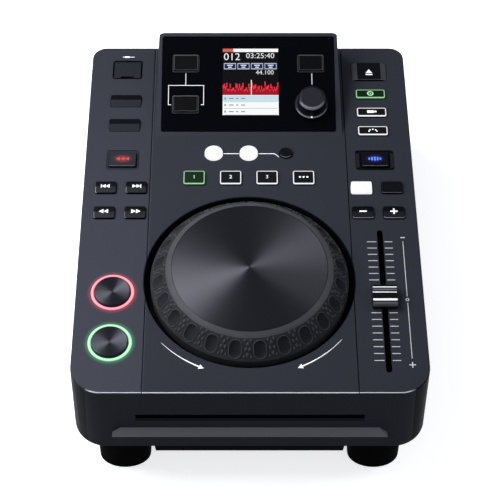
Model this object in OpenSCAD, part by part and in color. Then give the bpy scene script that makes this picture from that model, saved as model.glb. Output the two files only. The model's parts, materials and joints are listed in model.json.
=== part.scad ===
// Tabletop DJ CD player with a slot-loading disc drive, a jog wheel and a tilted screen pod.
// Millimetres, +Z up, front towards -Y. The origin is under the middle, on the table.

/* [Case] */
// Width of the control panel
case_w = 247; // [238:1:270]
// Depth of the control panel
case_d = 326; // [320:1:350]
// Height of the side walls
wall_h = 67.5; // [66:0.5:85]
// Outward slope of the walls in degrees
wall_draft = 1.3; // [0.6:0.1:2.4]
// Thickness of the walls
wall_t = 2.6; // [2.2:0.1:3.2]
// Thickness of the control panel
panel_t = 3; // [2.8:0.1:4]
// Radius of the front corners
front_r = 22; // [15:1:26]
// Radius of the rear corners
rear_r = 11; // [9:1:16]
// Rounding of the edge around the panel
edge_r = 1.2; // [0.6:0.1:2]
// Distance of the two seams from the sides
seam_in = 49.6; // [46:0.1:50]
// Width of a seam
seam_w = 0.7; // [0.4:0.1:1.2]
// Depth of a seam
seam_deep = 0.8; // [0.4:0.1:1.4]

/* [Feet and base] */
// Height of a foot
foot_h = 33.5; // [26:0.5:40]
// Half the width of a foot
foot_r = 18.6; // [14:0.1:19]
// Length of a foot
foot_l = 37.2; // [32:0.2:44]
// How far a foot's rounded ends reach along it
foot_end = 12.7; // [9:0.1:15]
// Distance of the feet's middle from the sides
foot_in = 33.4; // [31:0.1:36]
// Distance of the rear feet from the rear edge
foot_back = 25; // [22:1:32]
// Thickness of the base plate
base_t = 1.5; // [1:0.1:2]
// Gap between the base pan and the feet
pan_gap = 4.5; // [3:0.1:8]
// How far the pan hangs below the walls
pan_h = 11.5; // [6:0.5:13]
// Distance of the pan from the front edge
pan_front = 1.5; // [1.4:0.1:6]
// Depth of the pan
pan_d = 296; // [292:1:304]

/* [Front] */
// Distance of the middle of the disc slot below the panel
slot_down = 31.1; // [30.6:0.1:33]
// Width of the flared mouth of the disc slot
mouth_w = 159; // [150:1:165]
// Height of the flared mouth
mouth_h = 8.4; // [7.4:0.1:10]
// Depth of the flared mouth
mouth_deep = 4; // [3:0.1:4.6]
// Width of the slot that the disc passes
slot_w = 130; // [126:1:136]
// Height of the slot that the disc passes
slot_h = 5.6; // [5.2:0.1:6.4]
// Distance of the lip's front ahead of the panel
lip_out = 5.6; // [4:0.1:8]
// Distance of the lip's top edge below the panel
lip_down = 43.2; // [41:0.1:46]
// Height of the lip's sloping face
lip_slope = 5.2; // [3:0.1:7]
// Height of the lip's upright face
lip_face = 8.5; // [5:0.1:10]
// Distance of the lip's top edge from the sides
lip_in = 33; // [30:0.5:40]
// How far the lip widens down its slope
lip_flare = 5.9; // [3:0.1:7]

/* [Jog wheel] */
// Distance of the jog's middle from the front edge
jog_from_front = 96; // [94:0.5:98]
// Distance of the jog's well from the sides
well_in = 48.2; // [47.9:0.1:49.5]
// Depth of the well
well_deep = 12; // [11.5:0.1:12.5]
// Gap between the grip ring and the well
well_gap = 4.5; // [3.5:0.1:6]
// Height of the jog's top above the panel
jog_rise = 14.3; // [12:0.1:16]
// Width of the grip ring around the metal disc
grip_w = 15.3; // [13:0.1:20]
// Thickness of the metal disc
disc_t = 3; // [2:0.1:3.6]
// Number of finger dimples
dimples = 24; // [16:1:28]
// Radius of the jog shaft
jog_shaft_r = 5; // [4:0.1:6]
// Radius of the encoder wheel
encoder_r = 22; // [20:0.5:26]
// Number of openings in the encoder wheel
encoder_holes = 36; // [24:1:40]

/* [Keys] */
// Height of the keys above the panel
key_rise = 1.8; // [1:0.1:3]
// Travel of a key
key_travel = 1; // [0.6:0.1:1.2]
// Corner radius of a key
key_r = 1.4; // [0.8:0.1:2]
// Gap around a key
key_gap = 0.3; // [0.2:0.05:0.4]
// Distance of the outer key columns from the sides
column_in = 28.3; // [28:0.1:30]
// Distance between the two keys of a pair
pair_gap = 22.7; // [22.2:0.1:23.2]
// Width of the track, search and bend keys
pair_w = 15.4; // [14:0.1:17]
// Length of the track, search and bend keys
pair_l = 10.8; // [10:0.1:13]
// Width of the text and cue mode keys
mode_w = 23.5; // [22:0.1:26]
// Length of the text and cue mode keys
mode_l = 11.2; // [10:0.1:13]
// Width of the lit caps of the direction and jog mode keys
lit_w = 20.2; // [18:0.1:22]
// Length of those lit caps
lit_l = 13.8; // [12:0.1:15.4]
// Width of the recess around the jog mode key
lit_frame_w = 29.2; // [28:0.1:30]
// Length of the recess around the lit caps
lit_frame_l = 19.8; // [18:0.1:20.4]
// Width of the eject key
eject_w = 27.3; // [24:0.1:28]
// Length of the eject key
eject_l = 18.1; // [16:0.1:19]
// Width of a source key
source_w = 22.4; // [20:0.1:26]
// Length of a source key
source_l = 8.4; // [7:0.1:11]
// Distance between the source keys
source_gap = 19.15; // [18.6:0.05:19.4]
// Width of a hot cue key
cue_key_w = 15.8; // [14:0.1:18]
// Length of a hot cue key
cue_key_l = 12.5; // [10:0.1:13]
// Distance between the hot cue keys
cue_key_gap = 27.3; // [26:0.1:28]
// Radius of the loop in and loop out keys
loop_r = 6.85; // [6:0.05:7.2]
// Distance between the loop keys
loop_gap = 26.5; // [25:0.5:28]
// Radius of the loop exit key
exit_r = 4.9; // [4:0.1:6]
// Radius of the cue and play buttons
dial_r = 12.8; // [11:0.1:13.2]
// Travel of the cue and play buttons
dial_travel = 1.2; // [0.8:0.1:1.2]
// Outer radius of the lit ring around them
light_r = 15.5; // [14.8:0.1:16]
// Distance of the cue and play buttons from the side
dial_in = 26.3; // [26:0.1:28]
// Distance of the play button from the front edge
play_from_front = 41; // [40:0.5:42]
// Distance of the cue button from the front edge
cue_from_front = 84; // [83:0.5:86]

/* [Pitch fader] */
// Travel of the fader
fader_travel = 100; // [80:1:104]
// Distance of the fader's middle from the front edge
fader_from_front = 78.3; // [78:0.1:79]
// How much longer than its travel the fader's slot is
fader_spare = 23.8; // [18:0.2:24]
// Width of the slot in the panel
fader_slot_w = 4.2; // [3:0.1:4.6]
// Width of the knob
fader_knob_w = 17.4; // [14:0.1:20]
// Length of the knob
fader_knob_l = 18; // [14:0.1:20]
// Height of the knob
fader_knob_h = 6.5; // [5:0.1:11]

/* [Screen pod] */
// Tilt of the pod's face in degrees
pod_tilt = 16.3; // [14:0.1:18]
// Distance of the pod's front edge from the rear edge
pod_from_rear = 94; // [93:0.5:95]
// Distance of the pod from the sides
pod_in = 51.8; // [51:0.1:53]
// How far each side leans in over the pod's height
pod_lean = 2.2; // [1:0.1:3]
// Length of the pod's face along its slope
pod_face = 89.2; // [88.5:0.1:90]
// Depth of the pod's back slope
pod_back = 7; // [5:0.1:7.2]
// Width of the rim beside the glass
pod_rim = 4.7; // [4.2:0.1:6]
// Length of the glass along the slope
glass_l = 82.4; // [80:0.2:83]
// Thickness of the glass
glass_t = 2; // [1.6:0.1:2.4]
// Distance of the glass from the pod's front edge
glass_up = 3.6; // [3.2:0.1:4.2]
// Width of the picture area
picture_w = 43.2; // [38:0.1:46]
// Length of the picture area
picture_l = 57.6; // [50:0.1:60]
// Distance of the picture's lower edge up the glass
picture_up = 14; // [13:0.1:15]
// Distance of the picture's middle to the right of the glass's
picture_x = 1.7; // [0:0.1:3]
// Width of a key on the glass
glass_key_w = 20.4; // [15:0.1:21]
// Length of a key on the glass
glass_key_l = 15; // [11:0.1:15.5]
// Distance of the keys' middle from the glass's sides
glass_key_in = 18.5; // [17.5:0.1:19.5]
// Distance of the upper keys up the glass
glass_key_high = 58.4; // [57:0.2:60]
// Distance of the lower key and the knob up the glass
glass_key_low = 23; // [22:0.2:24]
// Radius of the select knob
knob_r = 11; // [9:0.1:11.6]
// Radius of the skirt under the select knob
skirt_r = 12.8; // [12:0.1:13.4]
// Height of the select knob over the glass
knob_h = 13; // [10:0.1:15]
// Travel of the select knob when pushed
knob_travel = 0.5; // [0.3:0.05:0.6]

/* [Port cover] */
// Width of the cover
cover_w = 21; // [19:0.1:22]
// Length of the cover
cover_l = 17.6; // [16:0.1:18.4]
// Thickness of the cover
cover_t = 1.9; // [1.6:0.1:2]
// Distance of the cover's middle from the rear edge
cover_from_rear = 24.4; // [23.8:0.1:25]

/* [Disc drive] */
// Diameter of the disc
disc_d = 120; // [118:1:122]
// Distance of the drive from the front edge
drive_from_front = 8; // [7.8:0.1:9]
// Room beside the disc in the drive
drive_side = 15; // [13:0.5:15.5]
// Depth of the drive
drive_d = 150; // [148:1:154]
// Sheet thickness of the drive
drive_t = 1.2; // [1:0.1:1.6]
// Travel of the laser sled
sled_travel = 34; // [28:0.5:35]
// Module of the sled's teeth
tooth_m = 0.8; // [0.7:0.05:0.85]
// Teeth of the sled gear
gear_teeth = 16; // [14:1:18]
// Radius of the load roller
roller_r = 5; // [4:0.1:5.4]

/* [Sockets] */
// How far the phono sockets stand behind the panel's rear edge
socket_out = 8.6; // [8:0.1:12]
// Outer radius of a phono socket
phono_r = 4.15; // [4:0.05:4.4]
// Distance between phono sockets
phono_gap = 16; // [14:0.5:18]
// Height of the row of sockets below the panel
sockets_down = 42; // [40:0.5:46]

/* [Hidden] */
$fn = 96;
eps = 0.02;
big = 400;
run_fit = 0.05;
air = 0.3;
corner_steps = 12;
soft_fn = 16;

// Heights
panel_z = foot_h + wall_h;
under_z = panel_z - panel_t;
base_top = foot_h + base_t;
tan_draft = tan(wall_draft);
y_mid = (case_d + socket_out - lip_out) / 2;
function fy(d) = d - y_mid;
function ry(d) = case_d - d - y_mid;
function out_at(z) = (panel_z - z) * tan_draft;

// Across the case
foot_x = case_w / 2 - foot_in;
pan_half = foot_x - foot_r - pan_gap;
lip_half = case_w / 2 - lip_in;
well_r = case_w / 2 - well_in;
ring_r = well_r - well_gap;
disc_r = ring_r - grip_w;
pod_half = case_w / 2 - pod_in;
glass_w = 2 * (pod_half - pod_rim);
glass_key_x = glass_w / 2 - glass_key_in;
drive_w = disc_d + 2 * drive_side;

// Places on the panel
column_x = case_w / 2 - column_in;
dial_x = -(case_w / 2 - dial_in);
seam_x = case_w / 2 - seam_in;
pair_x = pair_gap / 2;
cue_row_share = 0.4215;
jog_y = fy(jog_from_front);
fader_y = fy(fader_from_front);
search_row = fy(156);
track_row = fy(179.9);
mode_row = fy(207.5);
loop_row = fy(214);
well_rear = jog_y + well_r;
cue_key_row = well_rear + cue_row_share * (loop_row - well_rear);
source_row = ry(89.9);
eject_row = ry(27.3);
text_row = ry(58.6);
auto_row = ry(83.7);
cover_y = ry(cover_from_rear);

// Under the panel: flange, stem, switch, board
flange_w = 1.2;
flange_t = 1.2;
flange_top = under_z - air;
flange_z = flange_top - flange_t;
stem_r = 2.5;
stem_z = flange_z - 2;
switch_gap = 0.1;
switch_h = 4.3;
switch_w = 6;
board_t = 1.6;
switch_top = stem_z - key_travel - switch_gap;
board_top = switch_top - switch_h;
board_z = board_top - board_t;
pocket_t = 0.9;
post_r = 2.6;
screw_r = 1.25;
pilot_r = 1.3;
head_h = 2;
case_head_r = 2.8;
case_screw_l = 10;
board_head_r = 2.4;
board_screw_l = 6.6;
foot_head_r = 4;
foot_shank_r = 2;
foot_screw_l = 10;
foot_floor = 6;
foot_edge = 0.8;
foot_steps = 16;
grid = 10;

// Dial buttons and their lit rings
light_flange_t = 1.5;
light_flange_w = 1.6;
light_rise = 0.6;
dial_rise = 2.2;
dial_top = under_z - light_flange_t - air;
dial_stem_z = switch_top + dial_travel + switch_gap;

// Jog wheel
floor_t = 2.5;
well_z = panel_z - well_deep;
well_t = 2.5;
well_edge = 0.8;
rim_w = 4.2;
rim_fall = 1.9;
grip_top = jog_rise - rim_fall;
dimple_turn = 6;
dimple_ball = 9;
dimple_deep = 1.1;
dimple_reach = 2.2;
web_t = 3;
hub_r = 13;
bearing_r = 8;
bearing_flange_r = 12;
bearing_flange_t = 2;
bearing_z = well_z - floor_t - 4.5;
bearing_top = well_z + bearing_flange_t;
encoder_t = 1.5;
encoder_top = bearing_z - 0.1;
encoder_z = encoder_top - encoder_t;
shaft_z = encoder_z - 1.2;
disc_under = panel_z + jog_rise - disc_t;
sensor_gap = 0.4;

// Fader
track_w = 14;
track_h = 10;
track_wall = 1;
fader_slot_l = fader_travel + fader_spare;
track_l = fader_slot_l + 14;
carriage_w = track_w - 2 * track_wall - 2 * air;
carriage_h = track_h - 2 * track_wall - 2 * air;
carriage_l = 12;
blade_w = fader_slot_w - 2 * air - 0.4;
blade_l = 6;
knob_gap = 0.6;
blade_in = 0.6 * fader_knob_h;

// Screen pod, in its own frame: X across, Y up the slope, Z out of the face
pod_y = ry(pod_from_rear);
pod_high = pod_face * sin(pod_tilt);
pod_deep = pod_face * cos(pod_tilt);
frame_ledge = 3;
glass_gap = 0.2;
glass_corner = 2;
display_t = 4;
display_room = glass_key_x - glass_key_w / 2 - flange_w - picture_x - picture_w / 2;
display_edge = 0.36 * display_room;
glass_flange_top = -glass_t - air;
glass_flange_z = glass_flange_top - flange_t;
glass_stem_z = glass_flange_z - 2;
glass_switch_top = glass_stem_z - key_travel - switch_gap;
glass_board_top = glass_switch_top - switch_h;
glass_board_z = glass_board_top - board_t;
pod_open_half = glass_w / 2 - frame_ledge;
select_r = 3;
bush_r = 4.2;
encoder_box = 12.4;
encoder_box_h = 7;
encoder_box_top = glass_board_top + encoder_box_h;
plunger_r = 4.6;
plunger_t = 1.6;
plunger_z = encoder_box_top - 1.6 - plunger_t;
skirt_z = knob_travel + 0.3;

// Port cover
cover_pin_r = 0.5;
cover_pin_l = 1.6;
cover_gap = 0.7;
notch_half = 5;
notch_deep = 1.8;
cover_axis_z = panel_z - cover_t / 2;
cover_axis_y = cover_y + cover_l / 2 - cover_t / 2;
cover_pocket_z = panel_z - cover_t - 0.2;
port_w = 13.1;
port_l = 5.7;

// Disc drive
slot_z = panel_z - slot_down;
duct_wall = 2;
duct_back = drive_from_front - 0.6;
drive_top = slot_z + 7.1;
drive_z = slot_z - 18;
drive_half = drive_w / 2;
drive_y = fy(drive_from_front);
spindle_y = drive_y + disc_d / 2 + 12;
disc_room = 4.8;
disc_low = slot_z - disc_room / 2;
motor_r = 12;
motor_h = 7.6;
hub_cone_r = 7.3;
hub_plate_r = 14;
spindle_r = 1;
hub_z = drive_z + drive_t + motor_h + air;
hub_top = disc_low - air;
rod_r = 1.5;
rod_x = 15;
rod_z = drive_z + 6.5;
sled_y = spindle_y + 26;
sled_l = 20;
sled_half = 19;
sled_h = 7;
rod_front = spindle_y + 12.6;
rod_back = drive_y + drive_d - drive_t;
pitch_r = tooth_m * gear_teeth / 2;
gear_t = 3;
rack_t = 3;
rack_line = sled_half + 2.5;
gear_x = rack_line + pitch_r;
gear_y = sled_y + 8;
gear_z = rod_z - gear_t / 2;
roller_y = drive_y + 6;
roller_z = disc_low - air - roller_r;
roller_half = 52;
roller_shaft_r = 1.5;
roller_tab_t = 2;
access_half = 22;

// Base
boss_r = 4;
boss_wall = wall_t + 3;
pan_slope = 1.5;
stand_r = 3;
main_z = foot_h - pan_h + base_t + 5;
main_half = pan_half - 9;
main_front = fy(165);
main_d = 125;
supply_z = base_top + 5;
supply_front = fy(190);
supply_w = 40;
supply_d = 90;
supply_x = case_w / 2 - 31.5;
stand_x = drive_half - stand_r;

// Rear
plate_t = 3;
sockets_z = panel_z - sockets_down;
rear_y = ry(0);
inlet_x = case_w / 2 - 43.5;
inlet_w = 27;
inlet_h = 20;
inlet_well_w = 24.2;
inlet_well_h = 15.8;
inlet_well_d = 16.5;
rocker_w = 13;
rocker_h = 19;
rocker_x = inlet_x - inlet_w / 2 - rocker_w / 2 - 4;
phono_x = 0;
phono_bore_r = 1.6;
jack_x = phono_x - 36;
jack_r = 1.8;
jack_d = 12;
data_d = 7;
phono_bore_d = 8;
phono_body_r = 6.4;
phono_neck_r = 5.2;
socket_body_d = 14;
inlet_body_d = 17;
data_x = phono_x - 56;
module_lip = 1.6;
plate_left = data_x - 19;
plate_right = inlet_x + inlet_w / 2 + 6;
plate_half = 16;
plate_rim = 2;

dark = [0.09, 0.09, 0.1];
black = [0.04, 0.04, 0.045];
panel_grey = [0.21, 0.22, 0.25];
lit_white = [0.95, 0.96, 1];
steel = [0.6, 0.61, 0.63];
board_green = [0.08, 0.3, 0.16];

// Rectangular keys: name, x, y, width, length, recess width, recess length, colour
BARS = concat(
  [for (i = [0:1]) [["track_back_key", "track_next_key"][i], -column_x + (2 * i - 1) * pair_x,
    track_row, pair_w, pair_l, 0, 0, dark]],
  [for (i = [0:1]) [["search_back_key", "search_forward_key"][i], -column_x + (2 * i - 1) * pair_x,
    search_row, pair_w, pair_l, 0, 0, dark]],
  [for (i = [0:1]) [["bend_down_key", "bend_up_key"][i], column_x + (2 * i - 1) * pair_x,
    search_row, pair_w, pair_l, 0, 0, dark]],
  [for (i = [0:1]) [["master_tempo_key", "range_key"][i], column_x + (2 * i - 1) * pair_x,
    track_row, pair_w, pair_l, 0, 0, [lit_white, dark][i]]],
  [for (i = [0:2]) [["source_key_1", "source_key_2", "source_key_3"][i], column_x,
    source_row + (2 - i) * source_gap, source_w, source_l, 0, 0, dark]],
  [for (i = [0:3]) [["hot_cue_key_1", "hot_cue_key_2", "hot_cue_key_3", "memo_key"][i],
    (i - 1.5) * cue_key_gap, cue_key_row, cue_key_w, cue_key_l, 0, 0, dark]],
  [
    ["text_mode_key", -column_x, text_row, mode_w, mode_l, 0, 0, dark],
    ["auto_cue_key", -column_x, auto_row, mode_w, mode_l, 0, 0, dark],
    ["direction_key", -column_x, mode_row, lit_w, lit_l, lit_w + 4.4, lit_frame_l, dark],
    ["jog_mode_key", column_x, mode_row, lit_w, lit_l, lit_frame_w, lit_frame_l, dark],
    ["eject_key", column_x, eject_row, eject_w, eject_l, 0, 0, dark]
  ]
);

// Round keys: name, x, y, radius, colour
ROUNDS = [
  ["loop_in_key", -loop_gap, loop_row, loop_r, lit_white],
  ["loop_out_key", 0, loop_row, loop_r, lit_white],
  ["loop_exit_key", loop_gap + 1.6, loop_row, exit_r, dark]
];

// Cue and play: name, x, y
DIALS = [
  ["cue_button", dial_x, fy(cue_from_front)],
  ["play_button", dial_x, fy(play_from_front)]
];

// Keys on the glass: name, x, distance up the glass
GLASS_KEYS = [
  ["tap_key", -glass_key_x, glass_key_high],
  ["lock_key", -glass_key_x, glass_key_low],
  ["back_key", glass_key_x, glass_key_high]
];

// Control boards: x from, x to, y from, y to, and the y of the two rows of posts
BOARDS = [
  [-(case_w / 2 - 11.5), -(case_w / 2 - 44), fy(18), ry(17), fy(22), ry(21)],
  [case_w / 2 - 44, case_w / 2 - 11.5, fy(150.5), ry(17), (search_row + track_row) / 2, ry(41.3)],
  [-57, 57, cue_key_row - 9.8, loop_row + 12, cue_key_row - 5.8, loop_row + 8]
];

// Screw bosses of the case, against its walls
function corner_in(r) = (r - boss_wall) / sqrt(2);
BOSSES = [
  for (s = [-1, 1])
    each [
      [s * (case_w / 2 - front_r + corner_in(front_r)), fy(front_r - corner_in(front_r))],
      [s * (case_w / 2 - boss_wall), fy(120)],
      [s * (case_w / 2 - boss_wall), fy(225)],
      [s * (case_w / 2 - rear_r + corner_in(rear_r)), ry(rear_r - corner_in(rear_r))]
    ]
];

FEET = [for (s = [-1, 1]) each [[s * foot_x, fy(foot_l / 2)], [s * foot_x, ry(foot_back)]]];

// Posts that hold the control boards
post_in = 4;
function board_posts(b) = [for (x = [b[0] + post_in, b[1] - post_in]) for (y = [b[4], b[5]]) [x, y]];
POSTS = [for (b = BOARDS) each board_posts(b)];

MAIN_STANDS = [for (s = [-1, 1]) for (d = [5, main_d - 5]) [s * (main_half - 5), main_front + d]];
SUPPLY_STANDS = [
  for (s = [-1, 1])
    for (d = [5, supply_d - 5])
      [supply_x + s * (supply_w / 2 - 5), supply_front + d]
];
DRIVE_STANDS = [for (s = [-1, 1]) for (d = [6, drive_d - 6]) [s * stand_x, drive_y + d]];

// ---- Shared shapes ----

module rounded(w, l, r) {
  offset(r = r, $fn = soft_fn) square([w - 2 * r, l - 2 * r], center = true);
}

function arc(x, y, r, from) = [
  for (i = [0:corner_steps])
    let (a = from + 90 * i / corner_steps)
    [x + r * cos(a), y + r * sin(a)]
];

// Outline of the case, moved outwards by grow
function plan(grow) = concat(
  arc(case_w / 2 - rear_r, ry(rear_r), rear_r + grow, 0),
  arc(rear_r - case_w / 2, ry(rear_r), rear_r + grow, 90),
  arc(front_r - case_w / 2, fy(front_r), front_r + grow, 180),
  arc(case_w / 2 - front_r, fy(front_r), front_r + grow, 270)
);

// Outline of a foot, moved outwards by grow: straight sides with oval ends
function foot_plan(grow) = [
  for (s = [1, -1])
    for (i = [0:foot_steps])
      let (a = 180 * i / foot_steps)
      [s * (foot_r + grow) * cos(a), s * (foot_l / 2 - foot_end + (foot_end + grow) * sin(a))]
];

// Closed solid through outlines with as many points each: [height, outline], from the bottom up
module stacked(levels) {
  n = len(levels[0][1]);
  last = len(levels) - 1;
  points = [for (l = levels) each [for (p = l[1]) [p[0], p[1], l[0]]]];
  bottom = [for (i = [0:n - 1]) i];
  top = [for (i = [n - 1:-1:0]) last * n + i];
  sides = [
    for (k = [0:last - 1])
      for (i = [0:n - 1])
        let (j = (i + 1) % n)
        [k * n + i, (k + 1) * n + i, (k + 1) * n + j, k * n + j]
  ];
  polyhedron(points = points, faces = concat([bottom, top], sides), convexity = 4);
}

// Closed solid through the case's outline at each [height, grow], from the bottom up
module lofted(levels) {
  stacked([for (l = levels) [l[0], plan(l[1])]]);
}

module tube(outer, inner, h) {
  difference() {
    cylinder(r = outer, h = h);
    translate([0, 0, -1]) cylinder(r = inner, h = h + 2);
  }
}

// Box between two corners
module span(from, to) {
  translate(from) cube([to[0] - from[0], to[1] - from[1], to[2] - from[2]]);
}

// Places its children in the pod's own frame, with the glass's outer face at Z = 0
module on_pod() {
  translate([0, pod_y, panel_z]) rotate([pod_tilt, 0, 0]) children();
}

// Places its children on the glass: Y is the distance up the glass
module on_glass() {
  on_pod() translate([0, glass_up, 0]) children();
}

module switch_body() {
  translate([-switch_w / 2, -switch_w / 2, -eps]) cube([switch_w, switch_w, switch_h - 0.8 + eps]);
  cylinder(r = 1.7, h = switch_h);
}

// ---- Housing and base ----

// Plate with its upper edge rounded
module panel_solid() {
  steps = [0, 30, 60, 90];
  lofted(concat(
    [[under_z, out_at(under_z)]],
    [
      for (a = steps)
        [panel_z - edge_r + edge_r * sin(a), out_at(panel_z - edge_r) - edge_r + edge_r * cos(a)]
    ]
  ));
}

module wall_ring() {
  difference() {
    lofted([[foot_h, out_at(foot_h)], [under_z, out_at(under_z)]]);
    lofted([[foot_h - 1, out_at(foot_h - 1) - wall_t], [under_z + 1, out_at(under_z + 1) - wall_t]]);
  }
}

// Lip under the disc slot: a bevel, an upright face and an undercut, with ends that flare
module lip() {
  z_top = panel_z - lip_down;
  z_edge = z_top - lip_slope;
  z_low = z_edge - lip_face;
  back = 1;
  half = lip_half + lip_flare;
  intersection() {
    rotate([90, 0, 90])
      linear_extrude(height = 2 * big, center = true)
        polygon([
          [fy(back), z_top], [fy(-out_at(z_top)), z_top], [fy(-lip_out), z_edge],
          [fy(-lip_out), z_low], [fy(-out_at(z_low)), z_low - 2], [fy(back), z_low - 2]
        ]);
    rotate([90, 0, 0])
      linear_extrude(height = 2 * big, center = true)
        polygon([
          [-lip_half, z_top], [-half, z_edge], [-half, z_low - 3],
          [half, z_low - 3], [half, z_edge], [lip_half, z_top]
        ]);
  }
}

module mouth_hollow() {
  span([-mouth_w / 2, fy(-10), slot_z - mouth_h / 2],
    [mouth_w / 2, fy(mouth_deep), slot_z + mouth_h / 2]);
}

// Frame behind the front wall, from the flared mouth to the slot that the disc passes
module slot_frame() {
  half = mouth_w / 2 + duct_wall;
  high = mouth_h / 2 + duct_wall;
  front = wall_t - out_at(slot_z + high);
  color(dark)
    difference() {
      span([-half, fy(front), slot_z - high], [half, fy(duct_back), slot_z + high]);
      mouth_hollow();
      span([-slot_w / 2, fy(0), slot_z - slot_h / 2],
        [slot_w / 2, fy(duct_back + 1), slot_z + slot_h / 2]);
    }
}

// Upright block at the sockets: y from and to, and how much wider than the window it is
module at_window(from, to, grow) {
  span([plate_left - grow, from, sockets_z - plate_half - grow],
    [plate_right + grow, to, sockets_z + plate_half + grow]);
}

module hanging(places, r, z, top) {
  for (p = places) {
    translate([p[0], p[1], z]) cylinder(r = r, h = top - z);
  }
}

module pilots(places, z, deep) {
  for (p = places) {
    translate([p[0], p[1], z - 1]) cylinder(r = pilot_r, h = deep + 1);
  }
}

module key_holes() {
  for (b = BARS) {
    translate([b[1], b[2], under_z - 1])
      linear_extrude(height = big)
        rounded(b[3] + 2 * key_gap, b[4] + 2 * key_gap, key_r + key_gap);
    if (b[5] > 0) {
      translate([b[1], b[2], panel_z - pocket_t])
        linear_extrude(height = big) rounded(b[5], b[6], key_r + 1);
    }
  }
  for (r = ROUNDS) {
    translate([r[1], r[2], under_z - 1]) cylinder(r = r[3] + key_gap, h = big);
  }
  for (d = DIALS) {
    translate([d[1], d[2], under_z - 1]) cylinder(r = light_r + 0.1, h = big);
  }
}

module fader_slot() {
  straight = fader_slot_l / 2 - fader_slot_w / 2;
  for (s = [-1, 1]) {
    translate([column_x, fader_y + s * straight, under_z - 1]) cylinder(r = fader_slot_w / 2, h = big);
  }
  span([column_x - fader_slot_w / 2, fader_y - straight, under_z - 1],
    [column_x + fader_slot_w / 2, fader_y + straight, panel_z + 1]);
}

module cover_pocket() {
  translate([-column_x, 0, 0]) {
    translate([0, cover_y, cover_pocket_z])
      linear_extrude(height = big) rounded(cover_w + 2 * cover_gap, cover_l + 2 * cover_gap, 1.9);
    translate([0, cover_axis_y, cover_axis_z])
      rotate([0, 90, 0])
        cylinder(r = cover_pin_r + run_fit, h = cover_w + 2 * cover_pin_l + 1, center = true);
    span([-port_w / 2 - 0.1, cover_y - port_l / 2 - 0.1, under_z - 1],
      [port_w / 2 + 0.1, cover_y + port_l / 2 + 0.1, panel_z]);
  }
}

module well_hollow() {
  translate([0, jog_y, 0]) {
    translate([0, 0, well_z]) cylinder(r = well_r, h = big, $fn = 180);
    translate([0, 0, panel_z - well_edge])
      cylinder(r1 = well_r, r2 = well_r + well_edge + eps, h = well_edge + eps);
    translate([0, 0, well_z - floor_t - 1]) cylinder(r = bearing_r, h = floor_t + 2);
  }
}

module rear_holes() {
  for (i = [0:2]) {
    translate([phono_x + (i - 1) * phono_gap, rear_y + 1, sockets_z])
      rotate([90, 0, 0]) cylinder(r = phono_neck_r + 0.1, h = plate_t + 2);
  }
  translate([jack_x, rear_y + 1, sockets_z]) rotate([90, 0, 0]) cylinder(r = 3.6, h = plate_t + 2);
  span([data_x - 6.1, rear_y - plate_t - 1, sockets_z - 5.6], [data_x + 6.1, rear_y + 1, sockets_z + 5.6]);
  span([inlet_x - inlet_w / 2, rear_y - plate_t - 1, sockets_z - inlet_h / 2],
    [inlet_x + inlet_w / 2, rear_y + 1, sockets_z + inlet_h / 2]);
  span([rocker_x - rocker_w / 2 - 1.3, rear_y - plate_t - 1, sockets_z - rocker_h / 2 - 1.3],
    [rocker_x + rocker_w / 2 + 1.3, rear_y + 1, sockets_z + rocker_h / 2 + 1.3]);
}

module seams() {
  for (s = [-1, 1]) {
    translate([s * seam_x, 0, panel_z - seam_deep + big / 2]) cube([seam_w, 2 * big, big], center = true);
  }
}

module top_panel() {
  color(panel_grey)
    difference() {
      union() {
        panel_solid();
        translate([0, jog_y, well_z - floor_t])
          cylinder(r = well_r + well_t, h = under_z - well_z + floor_t + eps);
        hanging(POSTS, post_r, board_top, under_z + eps);
      }
      well_hollow();
      key_holes();
      fader_slot();
      cover_pocket();
      seams();
      glass_pocket();
      pilots(POSTS, board_top, board_screw_l - 1.1);
      span([-pod_open_half, pod_y + 8, under_z - 1],
        [pod_open_half, pod_y + pod_deep - 3, panel_z + 1]);
    }
}

module case_walls() {
  color(panel_grey)
    difference() {
      union() {
        wall_ring();
        hanging(BOSSES, boss_r, base_top, under_z);
        lip();
      }
      mouth_hollow();
      at_window(rear_y - wall_t - 1, rear_y + big, 0);
      pilots(BOSSES, base_top, case_screw_l + 2);
    }
}

// Plate that carries the sockets, held behind the rear wall's window by its rim
module socket_plate() {
  rim_front = rear_y - wall_t + out_at(sockets_z + plate_half + plate_rim);
  color(dark)
    difference() {
      union() {
        at_window(rear_y - plate_t, rear_y, -0.1);
        at_window(rear_y - plate_t, rim_front, plate_rim);
      }
      rear_holes();
    }
}

module pan_prism(inset, z) {
  rotate([90, 0, 0])
    translate([0, 0, -fy(pan_front + pan_d - inset)])
      linear_extrude(height = pan_d - 2 * inset)
        polygon([
          [inset - pan_half, z], [pan_half - inset, z],
          [pan_half + pan_slope - inset, base_top], [inset - pan_half - pan_slope, base_top]
        ]);
}

module base_plate() {
  pan_z = foot_h - pan_h;
  vent_l = 40;
  color(dark)
    difference() {
      union() {
        difference() {
          union() {
            translate([0, 0, foot_h])
              linear_extrude(height = base_t) polygon(plan(out_at(base_top) - wall_t - air));
            pan_prism(0, pan_z);
          }
          translate([0, 0, eps]) pan_prism(base_t, pan_z + base_t - eps);
        }
        stands(MAIN_STANDS, main_z);
        stands(SUPPLY_STANDS, supply_z);
        stands(DRIVE_STANDS, drive_z);
        for (f = FEET) {
          translate([f[0], f[1], base_top - eps]) cylinder(r = 4, h = 4);
        }
      }
      for (p = BOSSES) {
        translate([p[0], p[1], foot_h - 1]) cylinder(r = 1.7, h = base_t + 2);
      }
      for (f = FEET) {
        translate([f[0], f[1], foot_h - 1]) cylinder(r = foot_shank_r + run_fit, h = 8);
      }
      for (i = [-4:4]) {
        translate([i * 12 - 2, main_front + 30, pan_z - 1]) cube([4, vent_l, base_t + 2]);
      }
    }
}

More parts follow.
